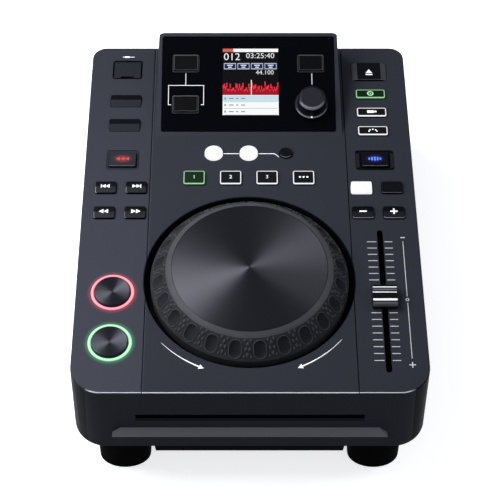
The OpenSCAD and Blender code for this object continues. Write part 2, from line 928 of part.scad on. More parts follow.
// Stands from the floor under them, which is the pan's or the plate's
module stands(places, top) {
  for (p = places) {
    z = abs(p[0]) < pan_half - base_t ? foot_h - pan_h + base_t : base_top;
    translate([p[0], p[1], z - eps]) cylinder(r = stand_r, h = top - z + eps);
  }
}

module feet() {
  color(black)
    for (f = FEET) {
      translate([f[0], f[1], 0])
        difference() {
          stacked([
            [0, foot_plan(-foot_edge)], [foot_edge, foot_plan(0)], [foot_h, foot_plan(0)]
          ]);
          translate([0, 0, -1]) cylinder(r = foot_head_r + 1, h = foot_h - foot_floor + 1);
          cylinder(r = foot_shank_r + run_fit, h = big);
        }
    }
}

// Screw with its head down: z is the underside of what it holds
module screw(p, z, head_r, shank_r, long) {
  translate([p[0], p[1], z - head_h]) {
    difference() {
      cylinder(r = head_r, h = head_h);
      translate([0, 0, -head_h / 2]) cylinder(r = head_r / 2, h = head_h, $fn = 6);
    }
    translate([0, 0, head_h - eps]) cylinder(r = shank_r, h = long + eps);
  }
}

module screws() {
  color(steel) {
    for (p = BOSSES) {
      screw(p, foot_h, case_head_r, screw_r, case_screw_l);
    }
    for (p = POSTS) {
      screw(p, board_z, board_head_r, screw_r, board_screw_l);
    }
    for (f = FEET) {
      screw(f, foot_h - foot_floor, foot_head_r, foot_shank_r, foot_screw_l);
    }
  }
}

// ---- Keys ----

module bar_key(b) {
  color(b[7])
    translate([b[1], b[2], 0]) {
      translate([0, 0, flange_z])
        linear_extrude(height = panel_z + key_rise - flange_z) rounded(b[3], b[4], key_r);
      translate([0, 0, flange_z])
        linear_extrude(height = flange_t) rounded(b[3] + 2 * flange_w, b[4] + 2 * flange_w, key_r);
      translate([0, 0, stem_z]) cylinder(r = stem_r, h = flange_z - stem_z + eps);
    }
}

module round_key(r) {
  color(r[4])
    translate([r[1], r[2], 0]) {
      translate([0, 0, flange_z]) cylinder(r = r[3], h = panel_z + key_rise - flange_z);
      translate([0, 0, flange_z]) cylinder(r = r[3] + flange_w + key_gap, h = flange_t);
      translate([0, 0, stem_z]) cylinder(r = stem_r, h = flange_z - stem_z + eps);
    }
}

module dial_button(d) {
  top = panel_z + dial_rise;
  color(black)
    translate([d[1], d[2], 0])
      rotate_extrude()
        polygon([
          [0, dial_stem_z], [stem_r, dial_stem_z], [stem_r, dial_top - flange_t],
          [dial_r + flange_w, dial_top - flange_t], [dial_r + flange_w, dial_top],
          [dial_r, dial_top], [dial_r, top - 0.6], [dial_r - 0.6, top], [0, top - 1.2]
        ]);
}

module light_rings() {
  color([0.9, 0.95, 0.9])
    for (d = DIALS) {
      translate([d[1], d[2], 0])
        difference() {
          union() {
            translate([0, 0, under_z - light_flange_t])
              cylinder(r = light_r + light_flange_w, h = light_flange_t);
            translate([0, 0, under_z - eps]) cylinder(r = light_r, h = panel_t + light_rise + eps);
          }
          translate([0, 0, under_z - light_flange_t - 1]) cylinder(r = dial_r + key_gap, h = big);
        }
    }
}

module glass_key(k) {
  color(dark)
    on_glass()
      translate([k[1], k[2], 0]) {
        translate([0, 0, glass_flange_z])
          linear_extrude(height = key_rise - glass_flange_z) rounded(glass_key_w, glass_key_l, key_r);
        translate([0, 0, glass_flange_z])
          linear_extrude(height = flange_t)
            rounded(glass_key_w + 2 * flange_w, glass_key_l + 2 * flange_w, key_r);
        translate([0, 0, glass_stem_z]) cylinder(r = stem_r, h = glass_flange_z - glass_stem_z + eps);
      }
}

// ---- Boards ----

module jog_sensor() {
  arm_l = 8;
  translate([0, jog_y - encoder_r, 0]) {
    span([-3, -arm_l / 2, encoder_top + sensor_gap], [3, arm_l / 2, well_z - floor_t]);
    span([-3, -arm_l / 2, encoder_z - sensor_gap - 1.6], [3, arm_l / 2, encoder_z - sensor_gap]);
    span([-3, -arm_l / 2 - 2, encoder_z - sensor_gap - 1.6], [3, -arm_l / 2 + 1, well_z - floor_t]);
  }
}

module control_boards() {
  display();
  color(board_green) {
    difference() {
      for (b = BOARDS) {
        span([b[0], b[2], board_z], [b[1], b[3], board_top]);
      }
      for (p = POSTS) {
        translate([p[0], p[1], board_z - 1]) cylinder(r = screw_r + 0.25, h = board_t + 2);
      }
    }
    for (k = concat(BARS, ROUNDS, DIALS)) {
      translate([k[1], k[2], board_top]) switch_body();
    }
    jog_sensor();
    on_glass() {
      span([3 - pod_open_half, 6, glass_board_z], [pod_open_half - 3, glass_l - 5, glass_board_top]);
      for (k = GLASS_KEYS) {
        translate([k[1], k[2], glass_board_top]) switch_body();
      }
    }
  }
}

// Block on a board, its place and size counted in steps of the grid
module chip(x, y, w, l, h) {
  translate([(x - w / 2) * grid, (y - l / 2) * grid, -eps]) cube([w * grid, l * grid, h * grid + eps]);
}

module main_boards() {
  color(board_green) {
    supply_board();
    difference() {
      span([-main_half, main_front, main_z], [main_half, main_front + main_d, main_z + board_t]);
      for (p = MAIN_STANDS) {
        translate([p[0], p[1], main_z - 1]) cylinder(r = 1.5, h = board_t + 2);
      }
    }
    translate([0, main_front, main_z + board_t]) {
      chip(0, 6, 2.4, 2.4, 0.2);
      chip(3, 4, 1.4, 2, 0.16);
      chip(-3, 4, 1.4, 1.4, 0.16);
      chip(-3, 8.4, 1, 1.8, 0.16);
      for (i = [0:3]) {
        translate([3.4 * grid, (7.2 + i) * grid, -eps]) cylinder(r = 0.32 * grid, h = 0.9 * grid);
      }
    }
  }
}

module supply_board() {
  difference() {
    translate([supply_x, supply_front, supply_z]) {
      translate([-supply_w / 2, 0, 0]) cube([supply_w, supply_d, board_t]);
      translate([0, 0, board_t]) {
        chip(0, 3, 2.2, 2.4, 1.8);
        chip(-1, 5.8, 0.3, 2.6, 1.6);
        chip(0.6, 7.4, 1.4, 1.4, 1.2);
      }
      translate([0.8 * grid, 5.4 * grid, board_t - eps]) cylinder(r = 0.6 * grid, h = 2 * grid);
    }
    for (p = SUPPLY_STANDS) {
      translate([p[0], p[1], supply_z - 1]) cylinder(r = 1.5, h = board_t + 2);
    }
  }
}

// ---- Jog wheel ----

module jog_disc() {
  color([0.16, 0.17, 0.22])
    translate([0, jog_y, disc_under])
      rotate_extrude($fn = 180)
        polygon([
          [0, 0], [disc_r - run_fit, 0], [disc_r - run_fit, disc_t - 0.4],
          [disc_r - 0.5, disc_t], [0, disc_t]
        ]);
}

// Oval dimple, lying along the slope of the grip
module dimple(i) {
  fall = atan(grip_top / (ring_r - disc_r - rim_w));
  lift = dimple_ball - dimple_deep;
  rotate([0, 0, i * 360 / dimples + dimple_turn])
    translate([(ring_r + disc_r + rim_w) / 2 + lift * sin(fall), 0, grip_top / 2 + lift * cos(fall)])
      rotate([0, 90 + fall, 0]) {
        cylinder(r = dimple_ball, h = 2 * dimple_reach, center = true, $fn = 64);
        for (s = [-1, 1]) {
          translate([0, 0, s * dimple_reach]) sphere(r = dimple_ball, $fn = 64);
        }
      }
}

module jog_ring() {
  rim_r = disc_r + rim_w;
  skirt_in = ring_r - 3;
  ledge = 5;
  hub_gap = 0.03;
  low = bearing_top + 0.1 - panel_z;
  ledge_z = jog_rise - disc_t;
  color(dark)
    translate([0, jog_y, panel_z])
      difference() {
        rotate_extrude($fn = 180)
          polygon([
            [jog_shaft_r + hub_gap, low], [hub_r, low], [hub_r, ledge_z - 2 * web_t],
            [disc_r, ledge_z - 2.6 * web_t], [skirt_in, ledge_z - 4 * web_t], [skirt_in, low + 1.5],
            [ring_r, low + 1.5], [ring_r, 0], [rim_r, grip_top], [disc_r, jog_rise],
            [disc_r, ledge_z], [disc_r - ledge, ledge_z], [disc_r - ledge, ledge_z - web_t],
            [jog_shaft_r + hub_gap, ledge_z - web_t]
          ]);
        for (i = [0:dimples - 1]) {
          dimple(i);
        }
      }
}

// Shaft with the wheel that its sensor reads
module jog_shaft() {
  groove = 0.6;
  color(steel)
    translate([0, jog_y, 0]) {
      difference() {
        translate([0, 0, shaft_z]) cylinder(r = jog_shaft_r, h = disc_under - 0.4 - shaft_z);
        translate([0, 0, shaft_z + groove / 2]) tube(jog_shaft_r + 1, jog_shaft_r - groove, 0.4);
      }
      translate([0, 0, encoder_z])
        difference() {
          tube(encoder_r, jog_shaft_r - 0.5, encoder_t);
          for (i = [0:encoder_holes - 1]) {
            rotate([0, 0, i * 360 / encoder_holes])
              translate([encoder_r - 2.4, 0, -1]) cylinder(r = 1, h = encoder_t + 2, $fn = 24);
          }
        }
    }
}

module jog_bearing() {
  color([0.75, 0.6, 0.3])
    translate([0, jog_y, 0])
      difference() {
        union() {
          translate([0, 0, bearing_z]) cylinder(r = bearing_r, h = bearing_top - bearing_z);
          translate([0, 0, well_z]) cylinder(r = bearing_flange_r, h = bearing_flange_t);
        }
        translate([0, 0, bearing_z - 1]) cylinder(r = jog_shaft_r + run_fit, h = big);
      }
}

// ---- Pitch fader ----

module fader_knob() {
  half = fader_knob_l / 2;
  top = fader_knob_h;
  z = panel_z + knob_gap;
  color(black)
    translate([column_x, fader_y, z])
      difference() {
        translate([-fader_knob_w / 2, 0, 0])
          rotate([90, 0, 90])
            linear_extrude(height = fader_knob_w)
              polygon([
                [-half, 0], [half, 0], [half, top * 0.25], [half * 0.88, top * 0.92], [half * 0.82, top],
                [half * 0.44, top], [half * 0.36, top * 0.82], [-half * 0.36, top * 0.82],
                [-half * 0.44, top], [-half * 0.82, top], [-half * 0.88, top * 0.92], [-half, top * 0.25]
              ]);
        translate([-blade_w / 2 - 0.01, -blade_l / 2 - 0.01, -1])
          cube([blade_w + 0.02, blade_l + 0.02, blade_in + 1.01]);
      }
}

module fader_carriage() {
  low = under_z - track_h + track_wall + air;
  color(lit_white)
    translate([column_x, fader_y, 0]) {
      difference() {
        translate([-carriage_w / 2, -carriage_l / 2, low]) cube([carriage_w, carriage_l, carriage_h]);
        for (s = [-1, 1]) {
          translate([s * carriage_w / 4, 0, low + carriage_h / 2])
            rotate([90, 0, 0]) cylinder(r = 1 + run_fit, h = big, center = true);
        }
      }
      translate([-blade_w / 2, -blade_l / 2, low + carriage_h - eps])
        cube([blade_w, blade_l, panel_z + knob_gap + blade_in - low - carriage_h]);
    }
}

module fader_track() {
  low = under_z - track_h;
  half = track_l / 2;
  inside = half - 2;
  color(steel)
    translate([column_x, fader_y, 0]) {
      difference() {
        span([-track_w / 2, -half, low], [track_w / 2, half, under_z]);
        span([track_wall - track_w / 2, -inside, low + track_wall],
          [track_w / 2 - track_wall, inside, under_z - track_wall]);
        span([-fader_slot_w / 2, -fader_slot_l / 2, low + track_wall],
          [fader_slot_w / 2, fader_slot_l / 2, under_z + 1]);
      }
      for (s = [-1, 1]) {
        translate([s * carriage_w / 4, 0, low + track_wall + air + carriage_h / 2])
          rotate([90, 0, 0]) cylinder(r = 1, h = 2 * inside + 1, center = true);
      }
    }
}

// ---- Screen pod ----

module pod_solid() {
  intersection() {
    rotate([90, 0, 90])
      linear_extrude(height = 2 * big, center = true)
        polygon([
          [pod_y, panel_z], [pod_y + pod_deep, panel_z + pod_high],
          [pod_y + pod_deep + pod_back, panel_z]
        ]);
    rotate([90, 0, 0])
      linear_extrude(height = 4 * big, center = true)
        polygon([
          [-pod_half, panel_z], [pod_half, panel_z],
          [pod_half - pod_lean, panel_z + pod_high], [pod_lean - pod_half, panel_z + pod_high]
        ]);
    on_pod()
      translate([0, pod_face / 2 - 20, -big / 2])
        linear_extrude(height = big) rounded(2 * pod_half, pod_face + 40, 6.5);
  }
}

// Seat of the glass, which reaches a little into the panel along the pod's front edge
module glass_pocket() {
  on_glass()
    translate([0, glass_l / 2, -glass_t])
      linear_extrude(height = big)
        rounded(glass_w + 2 * glass_gap, glass_l + 2 * glass_gap, glass_corner);
}

module screen_frame() {
  color([0.3, 0.31, 0.33])
    difference() {
      pod_solid();
      glass_pocket();
      on_glass()
        span([-pod_open_half, frame_ledge, -60], [pod_open_half, glass_l - frame_ledge, 1]);
    }
}

module screen_glass() {
  color([0.02, 0.02, 0.03])
    on_glass()
      difference() {
        translate([0, glass_l / 2, -glass_t])
          linear_extrude(height = glass_t) rounded(glass_w, glass_l, glass_corner);
        for (k = GLASS_KEYS) {
          translate([k[1], k[2], -glass_t - 1])
            linear_extrude(height = glass_t + 2)
              rounded(glass_key_w + 2 * key_gap, glass_key_l + 2 * key_gap, key_r + key_gap);
        }
        translate([glass_key_x, glass_key_low, -glass_t - 1]) cylinder(r = bush_r + 0.1, h = glass_t + 2);
      }
}

module display() {
  leg = 3;
  color([0.25, 0.35, 0.5])
    on_glass()
      translate([picture_x, picture_up + picture_l / 2, 0]) {
        wide = picture_w / 2 + display_edge;
        long = picture_l / 2 + display_edge;
        span([-wide, -long, -glass_t - display_t], [wide, long, -glass_t]);
        for (sx = [-1, 1]) {
          for (sy = [-1, 1]) {
            translate([sx * (wide - leg / 2) - leg / 2, sy * (long - leg / 2) - leg / 2, glass_board_top])
              cube([leg, leg, -glass_t - display_t - glass_board_top + eps]);
          }
        }
      }
}

module at_select() {
  on_glass() translate([glass_key_x, glass_key_low, 0]) children();
}

module select_knob() {
  shaft_low = plunger_z + 0.8 + run_fit;
  color(black)
    at_select()
      rotate_extrude()
        polygon([
          [0, shaft_low], [select_r, shaft_low], [select_r, skirt_z], [skirt_r, skirt_z],
          [skirt_r, skirt_z + 1], [skirt_r - 0.8, skirt_z + 1.8], [knob_r, skirt_z + 1.8],
          [knob_r - 0.7, knob_h - 1.6], [knob_r - 1.5, knob_h - 0.5], [knob_r - 3, knob_h], [0, knob_h]
        ]);
}

module select_plunger() {
  color(lit_white)
    at_select()
      translate([0, 0, plunger_z])
        difference() {
          cylinder(r = plunger_r, h = plunger_t);
          translate([0, 0, 0.8]) cylinder(r = select_r + run_fit, h = plunger_t);
        }
}

module select_encoder() {
  cap = 1.2;
  floor_z = plunger_z - knob_travel - air;
  color(steel)
    at_select()
      difference() {
        union() {
          translate([-encoder_box / 2, -encoder_box / 2, glass_board_top])
            cube([encoder_box, encoder_box, encoder_box_h]);
          translate([0, 0, encoder_box_top - eps]) cylinder(r = bush_r, h = -0.3 - encoder_box_top + eps);
        }
        translate([0, 0, floor_z]) cylinder(r = plunger_r + 0.1, h = encoder_box_top - cap - floor_z);
        translate([0, 0, floor_z]) cylinder(r = select_r + run_fit, h = big);
      }
}

// ---- Port cover ----

module port_cover() {
  half = cover_t / 2;
  color(dark)
    translate([-column_x, 0, 0]) {
      intersection() {
        translate([0, cover_y, panel_z - cover_t])
          linear_extrude(height = cover_t) rounded(cover_w, cover_l, 0.9);
        union() {
          span([-big, cover_y - cover_l, panel_z - cover_t], [big, cover_axis_y, panel_z]);
          translate([0, cover_axis_y, cover_axis_z])
            rotate([0, 90, 0]) cylinder(r = half, h = big, center = true);
        }
        difference() {
          cube(2 * big, center = true);
          span([-notch_half, cover_y - cover_l, 0], [notch_half, cover_y - cover_l / 2 + notch_deep, big]);
        }
      }
      translate([0, cover_axis_y, cover_axis_z])
        rotate([0, 90, 0]) cylinder(r = cover_pin_r, h = cover_w + 2 * cover_pin_l, center = true);
    }
}

module port_socket() {
  shell = 0.3;
  color(steel)
    translate([-column_x, cover_y, 0])
      difference() {
        span([-port_w / 2, -port_l / 2, board_top], [port_w / 2, port_l / 2, cover_pocket_z - 0.1]);
        difference() {
          span([shell - port_w / 2, shell - port_l / 2, board_top + 1],
            [port_w / 2 - shell, port_l / 2 - shell, panel_z]);
          span([-5.5, -0.2, board_top], [5.5, 1.7, cover_pocket_z - 0.8]);
        }
      }
}

// ---- Disc drive ----

module drive_chassis() {
  x = drive_half;
  back = drive_y + drive_d;
  tab = roller_tab_t;
  color(steel) {
    difference() {
      union() {
        difference() {
          span([-x, drive_y, drive_z], [x, back, drive_top]);
          span([drive_t - x, drive_y - 1, drive_z + drive_t],
            [x - drive_t, back - drive_t, drive_top - drive_t]);
        }
        translate([0, spindle_y, drive_z]) cylinder(r = motor_r, h = drive_t + motor_h);
        for (s = [-1, 1]) {
          span([s * (roller_half + tab) - tab / 2, roller_y - 4, drive_z + drive_t - eps],
            [s * (roller_half + tab) + tab / 2, roller_y + 4, roller_z + 4]);
          span([s * rod_x - 3, rod_front - 3, drive_z + drive_t - eps],
            [s * rod_x + 3, rod_front, rod_z + 3]);
        }
        translate([gear_x, gear_y, drive_z + drive_t - eps])
          cylinder(r = 3, h = gear_z - air - drive_z - drive_t + eps);
      }
      translate([0, spindle_y, drive_z + 2]) cylinder(r = spindle_r + run_fit, h = drive_z + motor_h);
      translate([0, roller_y, roller_z])
        rotate([0, 90, 0])
          cylinder(r = roller_shaft_r + run_fit, h = 2 * (roller_half + 2 * tab), center = true);
      for (s = [-1, 1]) {
        translate([s * rod_x, rod_front, rod_z]) rotate([90, 0, 0]) cylinder(r = rod_r, h = 10);
      }
      span([-access_half, spindle_y + 30, drive_z - 1],
        [access_half, back - 20, drive_z + drive_t - eps]);
    }
    translate([gear_x, gear_y, gear_z - air - eps]) cylinder(r = 1.5, h = gear_t + 2 * air + 1);
    for (s = [-1, 1]) {
      translate([s * rod_x, rod_back, rod_z])
        rotate([90, 0, 0]) cylinder(r = rod_r, h = rod_back - rod_front + 2);
    }
  }
}

module turntable() {
  color(black)
    translate([0, spindle_y, 0])
      rotate_extrude()
        polygon([
          [0, drive_z + 3], [spindle_r, drive_z + 3], [spindle_r, hub_z], [hub_plate_r, hub_z],
          [hub_plate_r, hub_z + 2], [hub_cone_r, hub_z + 2], [hub_cone_r, hub_top - 2],
          [hub_cone_r - 2, hub_top], [0, hub_top]
        ]);
}

// One flank-to-flank outline of a gear with involute teeth
function turned(v, a) = [v[0] * cos(a) - v[1] * sin(a), v[0] * sin(a) + v[1] * cos(a)];
function involute(base, t) = [
  base * (cos(t) + t * PI / 180 * sin(t)),
  base * (sin(t) - t * PI / 180 * cos(t))
];
function roll_angle(base, r) = r <= base ? 0 : sqrt(pow(r / base, 2) - 1) * 180 / PI;
function flank_turn(base, r) = let (t = roll_angle(base, r)) t - atan(t * PI / 180);

module gear_outline(teeth, m, slack) {
  pressure = 20;
  steps = 5;
  pitch = m * teeth / 2;
  base = pitch * cos(pressure);
  tip = pitch + m * 0.9;
  root = pitch - m * 1.2;
  half_tooth = 90 / teeth - slack / pitch * 90 / PI + flank_turn(base, pitch);
  t_tip = roll_angle(base, tip);
  flank = [for (i = [0:steps]) involute(base, t_tip * i / steps)];
  tooth = concat(
    [turned([root, 0], -half_tooth)],
    [for (p = flank) turned(p, -half_tooth)],
    [for (i = [steps:-1:0]) turned([flank[i][0], -flank[i][1]], half_tooth)],
    [turned([root, 0], half_tooth)]
  );
  polygon([for (k = [0:teeth - 1]) each [for (p = tooth) turned(p, k * 360 / teeth)]]);
}

module sled_gear() {
  color([0.85, 0.83, 0.78])
    translate([gear_x, gear_y, gear_z])
      rotate([0, 0, 180])
        difference() {
          linear_extrude(height = gear_t) gear_outline(gear_teeth, tooth_m, 0.15);
          translate([0, 0, -1]) cylinder(r = 1.5 + run_fit, h = gear_t + 2);
        }
}

// Rack along Y whose teeth point to +X, with a space facing the gear at rest
module rack() {
  pitch = PI * tooth_m;
  tip = tooth_m * 0.9;
  root = tooth_m * 1.2;
  lean = tan(20);
  slack = 0.15;
  half = pitch / 4 - slack / 2;
  spare = 5;
  first = -ceil((sled_travel + spare) / pitch);
  last = ceil((spare - 1) / pitch);
  translate([rack_line, gear_y, rod_z - rack_t / 2])
    linear_extrude(height = rack_t) {
      translate([-root - 2, (first - 0.5) * pitch]) square([2, (last - first + 1) * pitch]);
      for (k = [first:last - 1]) {
        translate([0, (k + 0.5) * pitch])
          polygon([
            [-root - 0.1, -half - root * lean], [tip, tip * lean - half],
            [tip, half - tip * lean], [-root - 0.1, half + root * lean]
          ]);
      }
    }
}

module laser_sled() {
  color([0.3, 0.3, 0.32])
    difference() {
      union() {
        span([-sled_half, sled_y - sled_l / 2, rod_z - sled_h / 2],
          [sled_half, sled_y + sled_l / 2, rod_z + sled_h / 2]);
        rack();
        translate([0, sled_y, rod_z]) cylinder(r = 4, h = sled_h / 2 + 1.6);
      }
      for (s = [-1, 1]) {
        translate([s * rod_x, sled_y, rod_z])
          rotate([90, 0, 0]) cylinder(r = rod_r + run_fit, h = 60, center = true);
      }
    }
}

module load_roller() {
  reach = roller_half + 1.5 * roller_tab_t + 1;
  color(black)
    translate([0, roller_y, roller_z])
      rotate([0, 90, 0]) {
        cylinder(r = roller_r, h = 2 * (roller_half - 1), center = true);
        cylinder(r = roller_shaft_r, h = 2 * reach, center = true);
      }
}

// ---- Rear ----

module phono_socket() {
  difference() {
    union() {
      translate([0, rear_y - plate_t - socket_body_d, 0])
        rotate([-90, 0, 0]) cylinder(r = phono_body_r, h = socket_body_d);
      translate([0, rear_y - plate_t - 1, 0])
        rotate([-90, 0, 0]) cylinder(r = phono_neck_r, h = plate_t + 1);
      translate([0, rear_y - eps, 0])
        rotate([-90, 0, 0]) cylinder(r = phono_r, h = socket_out + eps);
    }
    translate([0, rear_y - plate_t - phono_bore_d, 0])
      rotate([-90, 0, 0]) cylinder(r = phono_bore_r, h = big);
  }
}

module rear_sockets() {
  color(steel)
    translate([0, 0, sockets_z]) {
      for (i = [0:2]) {
        translate([phono_x + (i - 1) * phono_gap, 0, 0]) phono_socket();
      }
      difference() {
        union() {
          span([jack_x - 5, rear_y - plate_t - socket_body_d, -5], [jack_x + 5, rear_y - plate_t, 5]);
          translate([jack_x, rear_y - plate_t - 1, 0])
            rotate([-90, 0, 0]) cylinder(r = 3.5, h = plate_t + 2);
        }
        translate([jack_x, rear_y - plate_t - jack_d, 0])
          rotate([-90, 0, 0]) cylinder(r = jack_r, h = big);
      }
      difference() {
        span([data_x - 6, rear_y - plate_t - data_d - 5, -5.5], [data_x + 6, rear_y + 0.6, 5.5]);
        span([data_x - 4.3, rear_y - plate_t - data_d, -3.9], [data_x + 4.3, rear_y + 2, 3.9]);
      }
      span([data_x - 2.8, rear_y - plate_t - data_d - 1, -1.6], [data_x + 2.8, rear_y - 1, 1.6]);
    }
}

// Power inlet with its three pins, and the frame that the rocker turns in
module power_inlet() {
  back = rear_y - plate_t - inlet_body_d;
  frame_w = rocker_w + 2.4;
  frame_h = rocker_h + 2.4;
  color(black)
    translate([0, 0, sockets_z]) {
      difference() {
        union() {
          span([inlet_x - inlet_w / 2 + 0.1, back, 0.1 - inlet_h / 2],
            [inlet_x + inlet_w / 2 - 0.1, rear_y + eps, inlet_h / 2 - 0.1]);
          span([inlet_x - inlet_w / 2 - 2, rear_y, -inlet_h / 2 - 2],
            [inlet_x + inlet_w / 2 + 2, rear_y + module_lip, inlet_h / 2 + 2]);
        }
        translate([inlet_x, rear_y + module_lip + 1, 0])
          rotate([90, 0, 0])
            linear_extrude(height = inlet_well_d + 1)
              polygon([
                [-inlet_well_w / 2, -inlet_well_h / 2], [inlet_well_w / 2, -inlet_well_h / 2],
                [inlet_well_w / 2, inlet_well_h / 2 - 4], [inlet_well_w / 2 - 4, inlet_well_h / 2],
                [4 - inlet_well_w / 2, inlet_well_h / 2], [-inlet_well_w / 2, inlet_well_h / 2 - 4]
              ]);
      }
      for (p = [[-7, -2], [7, -2], [0, 2]]) {
        translate([inlet_x + p[0], rear_y + module_lip - inlet_well_d - eps, p[1]])
          translate([-1, 0, -2]) cube([2, inlet_well_d - 2, 4]);
      }
      difference() {
        union() {
          span([rocker_x - frame_w / 2, back, -frame_h / 2],
            [rocker_x + frame_w / 2, rear_y + eps, frame_h / 2]);
          span([rocker_x - frame_w / 2 - 1.6, rear_y, -frame_h / 2 - 1.6],
            [rocker_x + frame_w / 2 + 1.6, rear_y + module_lip, frame_h / 2 + 1.6]);
        }
        span([rocker_x - rocker_w / 2, rear_y - 12, -rocker_h / 2],
          [rocker_x + rocker_w / 2, rear_y + 5, rocker_h / 2]);
        translate([rocker_x, rear_y - 2, 0])
          rotate([0, 90, 0]) cylinder(r = 1 + run_fit, h = rocker_w + 1.6, center = true);
      }
    }
}

// Rocker, resting with its lower half pressed in
module power_switch() {
  half = rocker_h / 2 - 0.8;
  rest = 8;
  wide = rocker_w - 2 * air;
  pin_l = 0.9;
  color([0.5, 0.05, 0.05])
    translate([rocker_x, rear_y - 2, sockets_z])
      rotate([rest, 0, 0])
        translate([-wide / 2, 0, 0]) {
          rotate([90, 0, 90])
            linear_extrude(height = wide)
              polygon([
                [-3, -half + 2], [2.6, -half], [4.2, -half + 0.4], [2.7, 0],
                [4.2, half - 0.4], [2.6, half], [-3, half - 2]
              ]);
          translate([-pin_l, 0, 0])
            rotate([0, 90, 0]) cylinder(r = 1, h = wide + 2 * pin_l);
        }
}

// ---- Drawing, one node at a time or all of them ----

for (b = BARS) {
  bar_key(b);
}
for (r = ROUNDS) {
  round_key(r);
}
for (d = DIALS) {
  dial_button(d);
}
for (k = GLASS_KEYS) {
  glass_key(k);
}
top_panel();
case_walls();
slot_frame();
socket_plate();
base_plate();
feet();
screws();
light_rings();
control_boards();
main_boards();
jog_disc();
jog_ring();
jog_shaft();
jog_bearing();
fader_knob();
fader_carriage();
fader_track();
screen_frame();
screen_glass();
select_knob();
select_plunger();
select_encoder();
port_cover();
port_socket();
drive_chassis();
turntable();
laser_sled();
sled_gear();
load_roller();
rear_sockets();
power_inlet();
power_switch();
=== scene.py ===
"""Looks of a tabletop disc player: case, keys, jog wheel, screen, fader and sockets, and the studio."""

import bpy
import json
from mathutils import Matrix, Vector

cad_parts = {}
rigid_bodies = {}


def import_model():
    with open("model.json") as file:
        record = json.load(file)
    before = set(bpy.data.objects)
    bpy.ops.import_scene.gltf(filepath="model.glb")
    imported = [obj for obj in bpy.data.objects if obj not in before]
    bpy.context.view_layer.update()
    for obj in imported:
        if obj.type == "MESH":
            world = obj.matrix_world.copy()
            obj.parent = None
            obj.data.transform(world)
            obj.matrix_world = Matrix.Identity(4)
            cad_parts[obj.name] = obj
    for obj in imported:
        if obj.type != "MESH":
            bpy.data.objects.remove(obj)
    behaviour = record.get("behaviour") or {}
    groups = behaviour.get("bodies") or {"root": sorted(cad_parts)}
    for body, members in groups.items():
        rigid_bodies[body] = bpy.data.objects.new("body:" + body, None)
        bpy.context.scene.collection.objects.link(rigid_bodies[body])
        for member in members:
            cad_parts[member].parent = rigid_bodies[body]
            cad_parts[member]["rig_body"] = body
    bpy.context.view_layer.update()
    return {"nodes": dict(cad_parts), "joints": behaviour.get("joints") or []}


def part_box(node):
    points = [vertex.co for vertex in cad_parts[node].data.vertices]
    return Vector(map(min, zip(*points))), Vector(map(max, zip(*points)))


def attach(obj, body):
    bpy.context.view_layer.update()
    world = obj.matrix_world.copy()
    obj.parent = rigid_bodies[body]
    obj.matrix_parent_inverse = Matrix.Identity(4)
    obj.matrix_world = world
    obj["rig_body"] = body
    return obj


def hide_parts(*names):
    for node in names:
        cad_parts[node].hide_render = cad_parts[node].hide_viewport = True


bl_info = {
    "name": "Tabletop Disc Player",
    "version": (1, 0, 0),
    "blender": (4, 5, 0),
    "location": "View3D > Sidebar > Player",
    "description": "Builds the finished surfaces, keys and printed marks of a tabletop disc player",
    "category": "Object",
}

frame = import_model()

import json
from functools import cache
from math import atan2, cos, hypot, pi, radians, sin

import bmesh
import bpy
from bpy.props import FloatProperty, FloatVectorProperty, IntProperty, PointerProperty
from mathutils import Matrix, Vector

# Millimetres in the frame's metres
MM = 0.001
# Height of the panel's top, half of its depth, and the seam left of the jog wheel
PANEL_Z = 101.0
PLAN_MIDDLE = 164.5
SEAM_X = 73.9
# The pod: its foot, its slope and the gap below the glass
POD_Y = 67.5
POD_TILT = radians(16.3)
GLASS_UP = 3.6
# The jog wheel: its middle, its ring's outer and inner radius and height, and the turn of the first dimple
JOG_Y = -68.5
RING_R = 70.8
GRIP_IN = 59.7
GRIP_TOP = 12.4
DIMPLE_TURN = radians(6.0)
# The port cover's width, and the recesses of the direction and jog mode keys
COVER_W = 21.0
DIRECTION_L = 19.8
JOG_MODE_W = 29.2
# Inner and outer radius of the light guides round cue and play, and of the glow that they cast, painted on
# the panel
LIGHT_R = (13.2, 15.5)
CAST_R = (15.4, 18.6)
# Where the case's painted light and highlights change, in metres: up to its rounded rim, over the rim's
# front, ahead of the wall
RIM_Z = (0.0985, 0.0992)
RIM_Y = (-0.161, -0.163)
LIP_Y = (-0.1652, -0.1656)
# Thickness of the printed lines, the signs on the keys and the layers of the display
INK = 0.05
SIGN = 0.04
FILM = 0.02
# The display's middle, and its lower end on the glass
DISPLAY_X = 1.7
DISPLAY_LOW = 14.0
# The camera, and the lamps with their size and power
CAMERA_AT = (-0.01036, -0.7519, 1.0255)
CAMERA_TILT = radians(37.5)
LAMPS = (
    ("lamp_left", (-0.42, -0.02, 0.49), 0.34, 2.7),
    ("lamp_behind", (-0.42, 0.42, 0.85), 0.35, 4.8),
    ("lamp_front", (0.15, -1.0, 1.0), 0.6, 3.2),
    ("lamp_right", (0.8, 0.1, 0.7), 0.4, 1.6),
)


def forward(distance):
    """Y of a line that lies this far behind the panel's front edge."""
    return distance - PLAN_MIDDLE


def on_glass(x=0.0, y=0.0, z=0.0):
    """Matrix from millimetres about a point of the glass, X across and Y up the slope, to the frame."""
    foot = Matrix.Translation((0, POD_Y * MM, PANEL_Z * MM))
    slope = Matrix.Rotation(POD_TILT, 4, "X")
    return (foot @ slope @ Matrix.Translation((0, GLASS_UP * MM, 0)) @ Matrix.Scale(MM, 4)
            @ Matrix.Translation((x, y, z)))


def on_panel(x=0.0, y=0.0, z=PANEL_Z):
    """Matrix from millimetres about a point of the panel to the frame."""
    return Matrix.Translation((x * MM, y * MM, z * MM)) @ Matrix.Scale(MM, 4)


# ---- Colour and material ----

